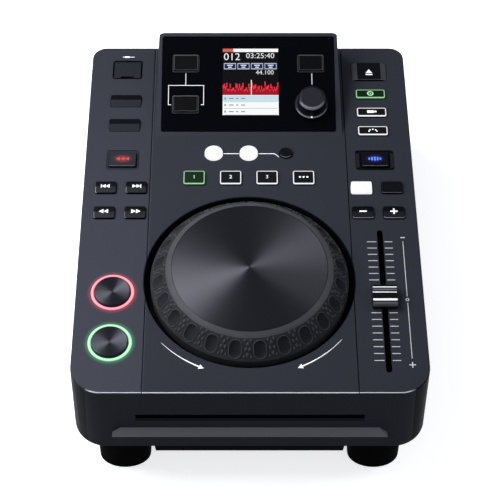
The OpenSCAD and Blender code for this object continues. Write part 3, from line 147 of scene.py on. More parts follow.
def linear(hex_colour):
    """Linear RGB of an sRGB hex colour."""
    parts = [int(hex_colour.lstrip("#")[i:i + 2], 16) / 255 for i in (0, 2, 4)]
    return tuple(p / 12.92 if p <= 0.04045 else ((p + 0.055) / 1.055) ** 2.4 for p in parts)


def shaded(colour, scale):
    """A colour made darker or paler."""
    return tuple(c * scale for c in colour)


def feed(node, name, value):
    """Gives an input a value, a socket that feeds it, or a node whose first live output does."""
    socket = node.inputs[name]
    if isinstance(value, bpy.types.Node):
        value = next(out for out in value.outputs if out.enabled)
    if isinstance(value, bpy.types.NodeSocket):
        node.id_data.links.new(value, socket)
    else:
        if socket.type == "RGBA" and len(value) == 3:
            value = (*value, 1.0)
        socket.default_value = value


def add(tree, kind, inputs=None, **settings):
    """Adds a shader node with its settings and inputs."""
    node = tree.nodes.new("ShaderNode" + kind)
    for name, value in settings.items():
        setattr(node, name, value)
    for name, value in (inputs or {}).items():
        feed(node, name, value)
    return node


def finish(name, colour, roughness, **values):
    """A named material with its shader and its place: constant values stand on the shader's own sockets."""
    made = bpy.data.materials.new(name)
    made.use_nodes = True
    made.diffuse_color = (*colour, 1.0)
    tree = made.node_tree
    tree.nodes.clear()
    sockets = {"Base Color": colour, "Roughness": roughness}
    sockets.update({key.replace("_", " ").title().replace("Ior", "IOR"): value
                    for key, value in values.items()})
    shader = add(tree, "BsdfPrincipled", sockets)
    add(tree, "OutputMaterial", {"Surface": shader})
    return made, tree, shader, add(tree, "TexCoord").outputs["Object"]


def glow(shader, colour, strength):
    """Makes a shader give light of its own."""
    feed(shader, "Emission Color", colour)
    feed(shader, "Emission Strength", strength)


def drift(tree, place, size, low, high, detail=4.0):
    """Colour or value that wanders between two ends over patches of one size in mm."""
    noise = add(tree, "TexNoise", {"Vector": place, "Scale": 1 / (size * MM), "Detail": detail})
    if isinstance(low, tuple):
        return add(tree, "Mix", {"Factor": noise, "A": low, "B": high}, data_type="RGBA")
    return add(tree, "MapRange", {"Value": noise, "To Min": low, "To Max": high})


def where(tree, *parts):
    """Product of masks: each is a mask, or a value with the bounds, and perhaps the ends, of its own."""
    product = None
    for part in parts:
        if isinstance(part, tuple):
            part = add(tree, "MapRange",
                       dict(zip(("Value", "From Min", "From Max", "To Min", "To Max"), part)))
        product = add(tree, "Math", {0: product, 1: part}, operation="MULTIPLY") if product else part
    return product


def facing(tree):
    """X, Y and Z of the surface's normal."""
    normal = add(tree, "NewGeometry").outputs["Normal"]
    return tuple(add(tree, "SeparateXYZ", {"Vector": normal}).outputs)


def from_axis(tree, place, centre, stretch=(1, 1, 0)):
    """Level arm from an upright axis to the place, and its length."""
    arm = add(tree, "VectorMath", {0: place, 1: centre}, operation="SUBTRACT")
    flat = add(tree, "VectorMath", {0: arm, 1: stretch}, operation="MULTIPLY")
    return flat, add(tree, "VectorMath", {0: flat}, operation="LENGTH")


def set_stops(ramp, first, last, *between):
    """Sets the colours of a ramp's two ends, and of the stops between them."""
    stops = ramp.color_ramp.elements
    stops[0].color = (*first, 1.0)
    stops[1].color = (*last, 1.0)
    for at, colour in between:
        stops.new(at).color = (*colour, 1.0)


def grain(tree, shader, place, size, depth, rough, spread, colour=None, shift=0.0, cloud=30.0):
    """Moulded or blasted surface: bump and roughness of one grit size in mm, colour drifts over patches."""
    grit = add(tree, "TexNoise", {"Vector": place, "Scale": 1 / (size * MM), "Detail": 3.0})
    feed(shader, "Normal", add(tree, "Bump", {"Height": grit, "Distance": depth * MM, "Strength": 1.0}))
    feed(shader, "Roughness", where(tree, (grit, 0.3, 0.7, rough - spread, rough + spread)))
    if colour:
        feed(shader, "Base Color",
             drift(tree, place, cloud, shaded(colour, 1 - shift), shaded(colour, 1 + shift)))


def grained(name, colour, rough, sheen, size, depth, spread, shift, cloud=30.0):
    """A finish that is all grain and drift."""
    made, tree, shader, place = finish(name, colour, rough, specular_ior_level=sheen)
    grain(tree, shader, place, size, depth, rough, spread, colour, shift, cloud)
    return made


def turned(name, colour, roughness, centre, pitch, depth, anisotropic, cone=0.0):
    """Turning marks round an upright axis: they spread light outwards, with fine grooves on a faint cone."""
    made, tree, shader, place = finish(name, colour, roughness, metallic=1.0, anisotropic=anisotropic)
    flat, length = from_axis(tree, place, centre)
    along = add(tree, "VectorMath", {0: flat}, operation="NORMALIZE")
    feed(shader, "Tangent", along)
    groove = add(tree, "TexNoise", {"W": length, "Scale": 1 / (pitch * MM), "Detail": 2.0},
                 noise_dimensions="1D")
    lean = add(tree, "VectorMath", {0: along, "Scale": cone}, operation="SCALE")
    normal = add(tree, "NewGeometry").outputs["Normal"]
    dished = add(tree, "VectorMath", {0: normal, 1: lean})
    level = add(tree, "VectorMath", {0: dished}, operation="NORMALIZE")
    feed(shader, "Normal", add(tree, "Bump", {
        "Height": groove, "Distance": depth * MM, "Strength": 1.0, "Normal": level}))
    return made


def moulded_abs(name, colour, rings=()):
    """Moulded ABS with a fine spark-eroded grain: painted highlights on its front edges, painted light and
    shade, and a painted glow round the lit rings.
    """
    made, tree, shader, place = finish(name, colour, 0.5, specular_ior_level=0.012)
    grain(tree, shader, place, 0.5, 0.012, 0.5, 0.06)
    x, y, z = add(tree, "SeparateXYZ", {"Vector": place}).outputs
    _, ahead, up = facing(tree)
    on_top = (z, *RIM_Z)

    # Painted light: the moulding left of the seam is painted a shade lighter, most of all at the front
    paler = where(tree, (x, -(SEAM_X - 0.2) * MM, -(SEAM_X + 0.2) * MM), (y, -0.16, 0.14, 0.6, 0.1), on_top)
    # Painted highlight: a faint bright hairline is painted along the right edge of the left seam
    line, across, along = (
        add(tree, "Math", {0: value, 1: middle, 2: half}, operation="COMPARE")
        for value, middle, half in (
            (x, -(SEAM_X - 0.7) * MM, 0.25 * MM), (x, 0.0, 0.1205), (y, -0.0015, 0.16)))
    line = where(tree, line, on_top)
    # Painted shade: seams, gaps and recesses inside the rim are painted dark, as shade falls in them
    recess_shade = where(tree, (z, (PANEL_Z - 0.1) * MM, (PANEL_Z - 0.5) * MM), across, along)
    gain = 1.0
    for share, weight in ((line, 0.7), (paler, 1.0), (recess_shade, -0.85)):
        gain = add(tree, "Math", {0: share, 1: weight, 2: gain}, operation="MULTIPLY_ADD")
    plain = drift(tree, place, 45, shaded(colour, 0.95), shaded(colour, 1.05))
    tone = add(tree, "VectorMath", {0: plain, "Scale": gain}, operation="SCALE")
    # Painted highlight: only the rounded front edge leans forwards between level and upright, and it is
    # painted bright
    edge_highlight = where(tree, (ahead, -0.38, -0.52), (up, 0.3, 0.45), on_top, (y, *RIM_Y))
    # Painted light: the slope along the top of the lip stands ahead of the wall and is painted paler, as lit
    lip_light = where(tree, (up, 0.5, 0.62), (y, *LIP_Y))
    for mask, hue in ((edge_highlight, "#F0F0F2"), (lip_light, "#717175")):
        tone = add(tree, "Mix", {"Factor": mask, "A": tone, "B": linear(hue)}, data_type="RGBA")
    feed(shader, "Base Color", tone)

    # Painted glow: the light of the cue and play rings is painted onto the case round them as its own
    # emission
    ring_glow_paint = (0, 0, 0)
    for centre, tint in rings:
        near = add(tree, "MapRange", {
            "Value": from_axis(tree, place, centre)[1],
            "From Min": CAST_R[0] * MM, "From Max": CAST_R[1] * MM,
            "To Min": 0.3, "To Max": 0.0}, interpolation_type="SMOOTHSTEP")
        cast = add(tree, "VectorMath", {0: tint, "Scale": near}, operation="SCALE")
        ring_glow_paint = add(tree, "VectorMath", {0: cast, 1: ring_glow_paint})
    if rings:
        glow(shader, ring_glow_paint, 1.0)
    return made


def satin_abs(colour):
    """Moulded ABS of the pod's frame, polished a little, so that its rim catches light."""
    return grained("satin_abs_grey", colour, 0.34, 0.12, 0.6, 0.006, 0.05, 0.05)


def black_abs(colour, name="satin_abs_black"):
    """Moulded ABS of the caps: satin black, finer in grain than the case, with a painted highlight where
    edges lean forwards.
    """
    made, tree, shader, place = finish(name, colour, 0.36, specular_ior_level=0.08)
    grain(tree, shader, place, 0.35, 0.005, 0.36, 0.05)
    _, ahead, up = facing(tree)
    # Painted highlight: faces that lean forwards are painted paler, up to a pale grey; upright faces stay
    # black
    lean = where(tree, (up, 0.15, 0.3, 0.0, -1.0), ahead)
    ramp = add(tree, "ValToRGB", {"Fac": lean})
    pale = linear("#77787E")
    set_stops(ramp, colour, pale, (0.2, colour), (0.27, shaded(colour, 2.8)), (0.38, shaded(colour, 3.0)),
              (0.55, pale))
    feed(shader, "Base Color", ramp)
    return made


def lit_polycarbonate(name, colour, light, strength):
    """Diffusing polycarbonate with a lamp under it: bright all over, a little brighter in patches."""
    made, tree, shader, place = finish(name, shaded(colour, 0.12), 0.4, specular_ior_level=0.2)
    glow(shader, light, drift(tree, place, 5, strength * 0.9, strength * 1.1, 1.0))
    return made


def backlight(name, centre, reach, smoke, light):
    """Smoked polycarbonate over one small lamp: the light fades out from the middle of the cap."""
    made, tree, shader, place = finish(name, smoke, 0.36, specular_ior_level=0.12)
    far = from_axis(tree, place, centre, (1 / (reach[0] * MM), 1 / (reach[1] * MM), 0))[1]
    glow(shader, light, add(tree, "MapRange", {
        "Value": far, "From Min": 0.1, "To Min": 0.75, "To Max": 0.0}, interpolation_type="SMOOTHSTEP"))
    return made


def screen_ink(name, colour, strength):
    """Screen-printed ink: flat colour of slightly uneven coverage, with a painted glow so that it reads
    bright under any light.
    """
    made, tree, shader, place = finish(name, colour, 0.5, specular_ior_level=0.2)
    cover = drift(tree, place, 0.4, shaded(colour, 0.92), colour, 2.0)
    feed(shader, "Base Color", cover)
    glow(shader, cover, strength)
    return made


def lit_segment(name, colour, strength):
    """Picture of a liquid-crystal display: its own light behind a fine grid of rows."""
    made, tree, shader, place = finish(name, (0.004, 0.004, 0.005), 0.5, specular_ior_level=0.02)
    rows = add(tree, "TexWave", {"Vector": place, "Scale": 1 / (3.0 * MM), "Distortion": 0.0},
               wave_type="BANDS", bands_direction="Y")
    glow(shader, colour, where(tree, (rows.outputs["Fac"], 0.0, 1.0, strength * 0.94, strength)))
    return made


def spun_aluminium(colour, centre):
    """Spun aluminium, anodised blue-black: its turning marks spread light into wedges from the centre."""
    return turned("spun_anodised_aluminium", colour, 0.48, centre, 0.5, 0.002, 0.85, 0.1)


def metallised_cap(name, centre):
    """Metallised ABS of the cue and play caps: dark chrome with coarse turning marks."""
    return turned(name, linear("#36373D"), 0.38, centre, 0.7, 0.006, 0.95)


def halo(name, centre, core, edge):
    """Light guide round a button: palest along its middle, saturated at its two edges."""
    made, tree, shader, place = finish(name, shaded(edge, 0.15), 0.3, specular_ior_level=0.3)
    across = where(tree, (from_axis(tree, place, centre)[1], LIGHT_R[0] * MM, LIGHT_R[1] * MM))
    ramp = add(tree, "ValToRGB", {"Fac": across})
    set_stops(ramp, edge, edge, (0.22, core), (0.85, core))
    glow(shader, ramp, 0.95)
    return made


def moulded_rubber(name, colour, grit=0.7, depth=0.03, rough=0.55, sheen=0.02):
    """Moulded rubber: soft sheen broken by a fine matt grain, with paler worn patches."""
    return grained(name, colour, rough, sheen, grit, depth, 0.08, 0.22, 9)


def printed_glass(colour):
    """Float glass printed black on its back, with a coating that takes most of the reflection away."""
    made, tree, shader, place = finish("back_printed_glass", colour, 0.08, specular_ior_level=0.05)
    feed(shader, "Roughness", drift(tree, place, 22, 0.05, 0.13, 5.0))
    return made


def plated(name, hue, roughness, streak=0.8):
    """Plated sheet or turned metal: drawn or rolled streaks along X in its colour and roughness."""
    colour = linear(hue)
    made, tree, shader, place = finish(name, colour, roughness, metallic=1.0)
    rolled = add(tree, "Mapping", {"Vector": place, "Scale": (0.06, 1.0, 1.0)})
    feed(shader, "Roughness", drift(tree, rolled, streak, roughness - 0.1, roughness + 0.12))
    feed(shader, "Base Color", drift(tree, rolled, streak, shaded(colour, 0.85), colour))
    return made


def plain_moulding(name, hue, roughness, grit=0.5, sheen=0.15):
    """Moulded ABS, acetal or nylon of small and inner parts: fine grain, faint flow marks."""
    return grained(name, linear(hue), roughness, sheen, grit, 0.006, 0.05, 0.08, 14)


def solder_mask():
    """Green solder mask on glass-fibre board: the copper tracks show as a paler maze under it."""
    green = linear("#17603A")
    made, tree, shader, place = finish("green_solder_mask", green, 0.3)
    maze = add(tree, "TexVoronoi", {"Vector": place, "Scale": 1 / (2.2 * MM), "Randomness": 0.35},
               distance="MANHATTAN", feature="DISTANCE_TO_EDGE")
    track = where(tree, (maze, 0.05, 0.12))
    feed(shader, "Base Color", add(tree, "Mix", {
        "Factor": track, "A": linear("#2C8652"), "B": green}, data_type="RGBA"))
    return made


def powder_coat(colour):
    """Powder coat on the steel base: black, with the fine orange peel that it cures to."""
    return grained("black_powder_coat", colour, 0.5, 0.006, 1.1, 0.04, 0.05, 0.06, 25)


# ---- Shaping ----

def merged(node_name):
    """A copy of a CAD node's mesh, its doubles merged and its flat faces joined."""
    shape = bmesh.new()
    shape.from_mesh(frame["nodes"][node_name].data)
    bmesh.ops.remove_doubles(shape, verts=shape.verts, dist=0.004 * MM)
    bmesh.ops.dissolve_limit(shape, angle_limit=radians(0.4), verts=shape.verts, edges=shape.edges)
    return shape


def break_edges(shape, width, segments=2, keep=None):
    """Rounds the sharp outward edges that keep() allows."""
    edges = [e for e in shape.edges if len(e.link_faces) == 2 and e.is_convex
             and e.calc_face_angle(0) > radians(35) and (keep is None or keep(e))]
    if edges:
        bmesh.ops.bevel(shape, geom=edges, offset=width * MM, offset_type="OFFSET", segments=segments,
                        profile=0.5, affect="EDGES", clamp_overlap=True, material=-1)


def above(height):
    """Test for edges that lie above a height in millimetres."""
    return lambda e: min(v.co.z for v in e.verts) > height * MM - 0.00001


def split(shape, point, normal):
    """Cuts the faces along a plane."""
    bmesh.ops.bisect_plane(shape, geom=[*shape.verts, *shape.edges, *shape.faces], dist=0.000001,
                           plane_co=point, plane_no=normal)


def repaint(shape, index, test):
    """Gives the faces that pass a test another of the piece's materials."""
    for face in shape.faces:
        if test(face):
            face.material_index = index


def linked(name, data):
    """A new object in the scene that shows its data."""
    made = bpy.data.objects.new(name, data)
    bpy.context.scene.collection.objects.link(made)
    return made


def meshed(shape, name, materials):
    """Turns a bmesh into an object with its materials."""
    mesh = bpy.data.meshes.new(name)
    shape.to_mesh(mesh)
    shape.free()
    for material in materials:
        mesh.materials.append(material)
    return linked(name, mesh)


def piece(shape, name, body, materials, replaces=(), smooth=35.0):
    """Turns a bmesh into a finished piece that rides on a body."""
    for edge in shape.edges:
        edge.smooth = edge.calc_face_angle(0) <= radians(smooth)
    for face in shape.faces:
        face.smooth = True
    made = meshed(shape, name, materials if isinstance(materials, list) else [materials])
    # Large faces keep their own normals, and only the small ones beside them bend
    weighted = made.modifiers.new("weighted", "WEIGHTED_NORMAL")
    weighted.keep_sharp = True
    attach(made, body)
    if replaces:
        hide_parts(*replaces)


def body_of(node_name):
    """Name of the body that a CAD node rides on."""
    return frame["nodes"][node_name]["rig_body"]


def centre_of(node_name):
    """Middle of a CAD node's box and its top, in millimetres."""
    low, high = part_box(node_name)
    return (low.x + high.x) / 2 / MM, (low.y + high.y) / 2 / MM, high.z / MM


def axis_of(node_name):
    """A point on a CAD node's upright axis, in metres."""
    x, y, _ = centre_of(node_name)
    return x * MM, y * MM, 0


def dress(node_name, name, material, width=0.0, keep=None, segments=2, smooth=35.0):
    """A merged, softened copy of a CAD node that takes its place."""
    shape = merged(node_name)
    if width:
        break_edges(shape, width, segments, keep)
    piece(shape, name, body_of(node_name), material, (node_name,), smooth)


def key_cap(name, shape, materials, smooth=35.0):
    """Makes a reshaped key into its cap."""
    piece(shape, name.replace("_key", "_cap"), body_of(name), materials, (name,), smooth)


def round_cap(name, material, width):
    """A key's cap with its top edge rounded."""
    shape = merged(name)
    break_edges(shape, width, 3, above(centre_of(name)[2]))
    key_cap(name, shape, material)


def paint(node_name, material):
    """Gives a CAD node that is shown as it is its finished material."""
    node = frame["nodes"][node_name]
    if not node.material_slots:
        node.data.materials.append(material)
    for held in node.material_slots:
        held.material = material


# ---- Drawing of flat marks, in millimetres ----

def bar(shape, x, y, width, length, height=INK, z=0.0):
    """A flat bar of ink or light."""
    place = Matrix.Translation((x, y, z + height / 2)) @ Matrix.Diagonal((width, length, height, 1))
    bmesh.ops.create_cube(shape, size=1.0, matrix=place)


def slanted(shape, start, end, width, height=INK):
    """A flat bar from one point to another."""
    dx, dy = end[0] - start[0], end[1] - start[1]
    place = (Matrix.Translation(((start[0] + end[0]) / 2, (start[1] + end[1]) / 2, height / 2))
             @ Matrix.Rotation(atan2(dy, dx), 4, "Z") @ Matrix.Diagonal((hypot(dx, dy), width, height, 1)))
    bmesh.ops.create_cube(shape, size=1.0, matrix=place)


def spot(shape, x, y, r, height=INK, corners=40, turn=0.0, stretch=(1.0, 1.0)):
    """A flat disc, or a triangle with three corners."""
    place = Matrix.Translation((x, y, 0)) @ Matrix.Rotation(turn, 4, "Z") @ Matrix.Diagonal((*stretch, 1, 1))
    verts = bmesh.ops.create_circle(shape, cap_ends=True, segments=corners, radius=r, matrix=place)["verts"]
    face = verts[0].link_faces[0]
    if face.normal.z < 0:
        face.normal_flip()
    top = bmesh.ops.extrude_face_region(shape, geom=[face], use_keep_orig=True)
    lifted = [v for v in top["geom"] if isinstance(v, bmesh.types.BMVert)]
    bmesh.ops.translate(shape, verts=lifted, vec=(0, 0, height))
    face.normal_flip()


def arrow(shape, x, y, size, turn, height=INK):
    """A solid triangle that points along turn."""
    spot(shape, x, y, size, height, 3, turn - pi / 2)


def lathe(shape, x, y, corners, start=0.0, sweep=2 * pi, steps=64):
    """Turns a profile of radii and heights about an upright axis."""
    face = shape.faces.new([shape.verts.new((x + r * cos(start), y + r * sin(start), z)) for r, z in corners])
    whole = abs(sweep - 2 * pi) < 0.001
    bmesh.ops.spin(shape, geom=[face, *face.edges, *face.verts], cent=(x, y, 0), axis=(0, 0, 1),
                   angle=sweep, steps=steps, use_merge=whole)
    if whole and face.is_valid:
        bmesh.ops.delete(shape, geom=[face], context="FACES_ONLY")


def band(shape, x, y, inner, outer, height=INK, start=0.0, sweep=2 * pi, steps=64):
    """A flat ring, or an arc of one."""
    lathe(shape, x, y, ((inner, 0), (outer, 0), (outer, height), (inner, height)), start, sweep, steps)


def bead(shape, place, reach, r, thick):
    """A raised bead round a long oval that lies along X."""
    steps, sides = 28, 6
    loops = []
    for i in range(steps):
        a = 2 * pi * (i + 0.5) / steps
        out = Vector((cos(a), sin(a), 0))
        middle = out * r + Vector((reach if out.x > 0 else -reach, 0, 0))
        turns = [2 * pi * j / sides for j in range(sides)]
        loops.append([
            shape.verts.new(place @ (middle + out * thick * cos(b) + Vector((0, 0, thick * sin(b)))))
            for b in turns])
    for i in range(steps):
        loop, after = loops[i - 1], loops[i]
        for j in range(sides):
            shape.faces.new((loop[j - 1], after[j - 1], after[j], loop[j]))


def numerals(shape, words, x, y, size, height=SIGN, thin=0.0):
    """Plain numbers or signs as a thin solid, made a mesh first."""
    curve = bpy.data.curves.new("numerals", "FONT")
    curve.body = words
    curve.size = size
    curve.align_x = curve.align_y = "CENTER"
    curve.extrude = height / 2
    curve.offset = -thin
    curve.resolution_u = 3
    holder = linked("numerals", curve)
    bpy.context.view_layer.update()
    mesh = bpy.data.meshes.new_from_object(holder.evaluated_get(bpy.context.evaluated_depsgraph_get()))
    bpy.data.objects.remove(holder)
    bpy.data.curves.remove(curve)
    mesh.transform(Matrix.Translation((x, y, height / 2)))
    shape.from_mesh(mesh)
    bpy.data.meshes.remove(mesh)


def drawn(*rows):
    """A bmesh with marks drawn in it: a row is a function of this section and its values."""
    shape = bmesh.new()
    for draw, *values in rows:
        draw(shape, *values)
    return shape


def printed(shape, name, body, material, place, smooth=30.0, replaces=()):
    """Merges doubles of flat artwork, turns its faces outwards, places it and makes it a piece."""
    bmesh.ops.remove_doubles(shape, verts=shape.verts, dist=0.0001)
    bmesh.ops.recalc_face_normals(shape, faces=shape.faces)
    bmesh.ops.transform(shape, matrix=place, verts=shape.verts)
    piece(shape, name, body, material, replaces, smooth)


# ---- Properties ----

def colour_property(label, about, hex_colour):
    """A colour that can be picked, with its default."""
    return FloatVectorProperty(name=label, description=about, default=linear(hex_colour), subtype="COLOR",
                               size=3, min=0.0, max=1.0)


def size_property(label, about, default, low, high):
    """A size in millimetres or a level, with its default and its range."""
    return FloatProperty(name=label, description=about, default=default, min=low, max=high)


class PlayerCase(bpy.types.PropertyGroup):
    panel: colour_property("Case", "Colour of the moulded panel and walls", "#2F3138")
    frame: colour_property("Pod frame", "Colour of the frame round the screen", "#2D3038")
    base: colour_property("Base", "Colour of the powder-coated base", "#09090A")
    edge_break: size_property("Edge break", "Rounding of the frame's edges, in mm", 0.5, 0.05, 1.0)


class PlayerKeys(bpy.types.PropertyGroup):
    cap: colour_property("Cap", "Colour of the plain key caps", "#0C0D12")
    ink: colour_property("Ink", "Colour of the printed signs", "#F4F5F8")
    green: colour_property("Green", "Colour of the keys that are switched on", "#A6E8A8")
    cap_break: size_property("Cap edge", "Rounding of a cap's top edge, in mm", 0.35, 0.05, 0.6)
    border: size_property("Lit border", "Width of the lit border round a cap, in mm", 0.5, 0.3, 2.0)


class PlayerJog(bpy.types.PropertyGroup):
    disc: colour_property("Disc", "Colour of the anodised disc", "#434349")
    grip: colour_property("Grip", "Colour of the rubber ring", "#2F3033")
    studs: IntProperty(name="Studs",
                       description="Groups of studs round the ring, one between each two dimples",
                       default=24, min=8, max=48)


class PlayerScreen(bpy.types.PropertyGroup):
    glass: colour_property("Glass", "Colour of the print behind the glass", "#040508")
    width: size_property("Picture width", "Width of the display's picture, in mm", 43.2, 30.0, 50.0)
    length: size_property("Picture length", "Length of the picture up the slope, in mm", 57.6, 40.0, 64.0)


class PlayerStudio(bpy.types.PropertyGroup):
    lens: FloatProperty(name="Lens", description="Focal length of the camera", default=116.0, min=20.0,
                        max=300.0, unit="CAMERA")
    level: size_property("Level", "Strength of the light all round", 0.21, 0.0, 2.0)


GROUPS = {
    "player_case": PlayerCase, "player_keys": PlayerKeys, "player_jog": PlayerJog,
    "player_screen": PlayerScreen, "player_studio": PlayerStudio,
}


# ---- Materials that several pieces share, each made once ----

@cache
def ink():
    return screen_ink("white_screen_ink", tuple(bpy.context.scene.player_keys.ink), 0.35)


@cache
def cap_black():
    return black_abs(tuple(bpy.context.scene.player_keys.cap))


@cache
def lit_white():
    return lit_polycarbonate("diffusing_polycarbonate_white", linear("#F4F6FA"), linear("#FBFCFF"), 0.9)


@cache
def steel():
    return plated("zinc_plated_steel", "#B9BABF", 0.35)


# ---- Operators ----

class PLAYER_OT_case(bpy.types.Operator):
    """Panel, walls, slot frame, base and feet"""
    bl_idname = "player.case"
    bl_label = "Case"

    def execute(self, context):
        case = context.scene.player_case
        # The cue and play rings, whose glow is painted onto the case round them
        rings = [(axis_of(name), linear(tint))
                 for name, tint in (("cue_button", "#E0304C"), ("play_button", "#3FBF6C"))]
        housing = moulded_abs("moulded_abs_graphite", tuple(case.panel), rings)
        dress("top_panel", "panel_moulding", housing, smooth=30)
        dress("case_walls", "wall_moulding", housing, smooth=30)
        paint("slot_frame", plain_moulding("light_tight_abs", "#08080A", 0.6))
        black = plain_moulding("moulded_abs_black", "#131316", 0.45)
        dress("socket_plate", "socket_plate_moulding", black)
        paint("base_plate", powder_coat(tuple(case.base)))
        rubber = moulded_rubber("natural_rubber_black", linear("#060607"), 0.9, 0.03, 0.6, 0.003)
        dress("feet", "rubber_feet", rubber, 0.8,
              lambda e: max(v.co.z for v in e.verts) < 0.031)
        paint("screws", steel())
        return {"FINISHED"}


def wedge(shape, cut, fall, toward):
    """Slopes the part of a cap's top that lies beyond a line: toward is the way down."""
    axis = 0 if toward[0] else 1
    top = max(v.co.z for v in shape.verts)
    split(shape, [cut if i == axis else 0 for i in range(3)], (*toward, 0))
    for v in shape.verts:
        beyond = (v.co[axis] - cut) * toward[axis]
        if beyond > 0.000005 and v.co.z > top - 0.00002:
            v.co.z -= beyond * fall
    shape.normal_update()


class PLAYER_OT_plain_keys(bpy.types.Operator):
    """Black key caps: track, search, bend, range, text, cue mode and eject"""
    bl_idname = "player.plain_keys"
    bl_label = "Plain Keys"

    def execute(self, context):
        width = context.scene.player_keys.cap_break
        # Lit and shaded copies of one black plastic: a cap's rear painted in shade, its front half painted
        # lit, and a painted glint along one edge
        rear = plain_moulding("satin_abs_shaded_rear", "#0B0C13", 0.36, 0.35, 0.03)
        rim = plain_moulding("satin_abs_glint", "#85868D", 0.3, 0.35, 0.12)
        crown = plain_moulding("satin_abs_lit_crown", "#1B1C22", 0.3, 0.35, 0.12)
        for name in ("track_back_key", "track_next_key", "search_back_key", "search_forward_key",
                     "bend_down_key", "bend_up_key"):
            x, y, top = centre_of(name)
            shape = merged(name)
            wedge(shape, (y + 0.2) * MM, 0.05, (0, -1))
            repaint(shape, 1, lambda f: f.normal.y < -0.02 and f.normal.z > 0.5)
            break_edges(shape, width, 3, above(top - 0.6))
            shape.normal_update()
            # Painted glints: the left column's caps are painted bright along their left edges, the pitch bend
            # caps along the front
            axis = 0 if x < 0 else 1
            repaint(shape, 2, lambda f: f.normal[axis] < -0.1 and f.normal.z > 0.1
                    and f.calc_center_median().y < (y + 0.5) * MM)
            key_cap(name, shape, [rear, crown, rim], smooth=20)
        round_cap("range_key", cap_black(), width)

        lit_front = plain_moulding("satin_abs_lit_front", "#23252C", 0.36, 0.35, 0.05)
        for name in ("text_mode_key", "auto_cue_key"):
            _, y, top = centre_of(name)
            shape = merged(name)
            # The front half falls away, and is painted paler as lit
            wedge(shape, (y + 0.4) * MM, 0.28, (0, -1))
            repaint(shape, 1, lambda f: f.normal.y < -0.15 and f.normal.z > 0.5)
            break_edges(shape, 0.25, 2, above(top - 2))
            key_cap(name, shape, [rear, lit_front], smooth=10)

        x, _, top = centre_of("eject_key")
        shape = merged("eject_key")
        for side in (-1, 1):
            wedge(shape, (x + side * 9.2) * MM, 0.3, (side, 0))
        # Painted highlight: the sloped sides are painted paler than the top
        repaint(shape, 1, lambda f: 0.15 < abs(f.normal.x) < 0.5 and f.normal.z > 0.8)
        break_edges(shape, 0.25, 2, above(top - 1.6))
        key_cap("eject_key", shape, [cap_black(), plain_moulding("satin_abs_lit_sides", "#3C3D42", 0.35)],
                smooth=10)
        return {"FINISHED"}


def lit_cap(name, light, border, black):
    """A cap of diffusing plastic whose top is printed black inside a border."""
    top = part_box(name)[1].z
    shape = merged(name)
    break_edges(shape, 0.2, 2, above(top / MM))
    flat = [f for f in shape.faces if f.normal.z > 0.99 and f.calc_center_median().z > top - 0.00001]
    bmesh.ops.inset_region(shape, faces=flat, thickness=border * MM, use_even_offset=True)
    # The sides are printed black too, but for a thin strip under the top
    strip = top - 0.8 * MM
    split(shape, (0, 0, strip), (0, 0, 1))
    repaint(shape, 1, lambda f: f in flat or f.calc_center_median().z < strip)
    key_cap(name, shape, [light, black])


class PLAYER_OT_lit_keys(bpy.types.Operator):
    """Source, hot cue, memo, loop and tempo keys, which are lit from below"""
    bl_idname = "player.lit_keys"
    bl_label = "Lit Keys"

    def execute(self, context):
        keys = context.scene.player_keys
        green = lit_polycarbonate("diffusing_polycarbonate_green", tuple(keys.green), linear("#9FE3A2"), 0.75)
        black = plain_moulding("screen_printed_black", "#0A0B0F", 0.4)
        dark_green = plain_moulding("screen_printed_green_black", "#0A1F0D", 0.4)
        for name in ("source_key_1", "source_key_2", "source_key_3", "hot_cue_key_1", "hot_cue_key_2",
                     "hot_cue_key_3", "memo_key"):
            if name in ("source_key_1", "hot_cue_key_1"):
                lit_cap(name, green, keys.border, dark_green)
            else:
                lit_cap(name, lit_white(), keys.border, black)
        for name in ("master_tempo_key", "loop_in_key", "loop_out_key"):
            round_cap(name, lit_white(), 0.4)
        round_cap("loop_exit_key", cap_black(), 0.5)
        return {"FINISHED"}


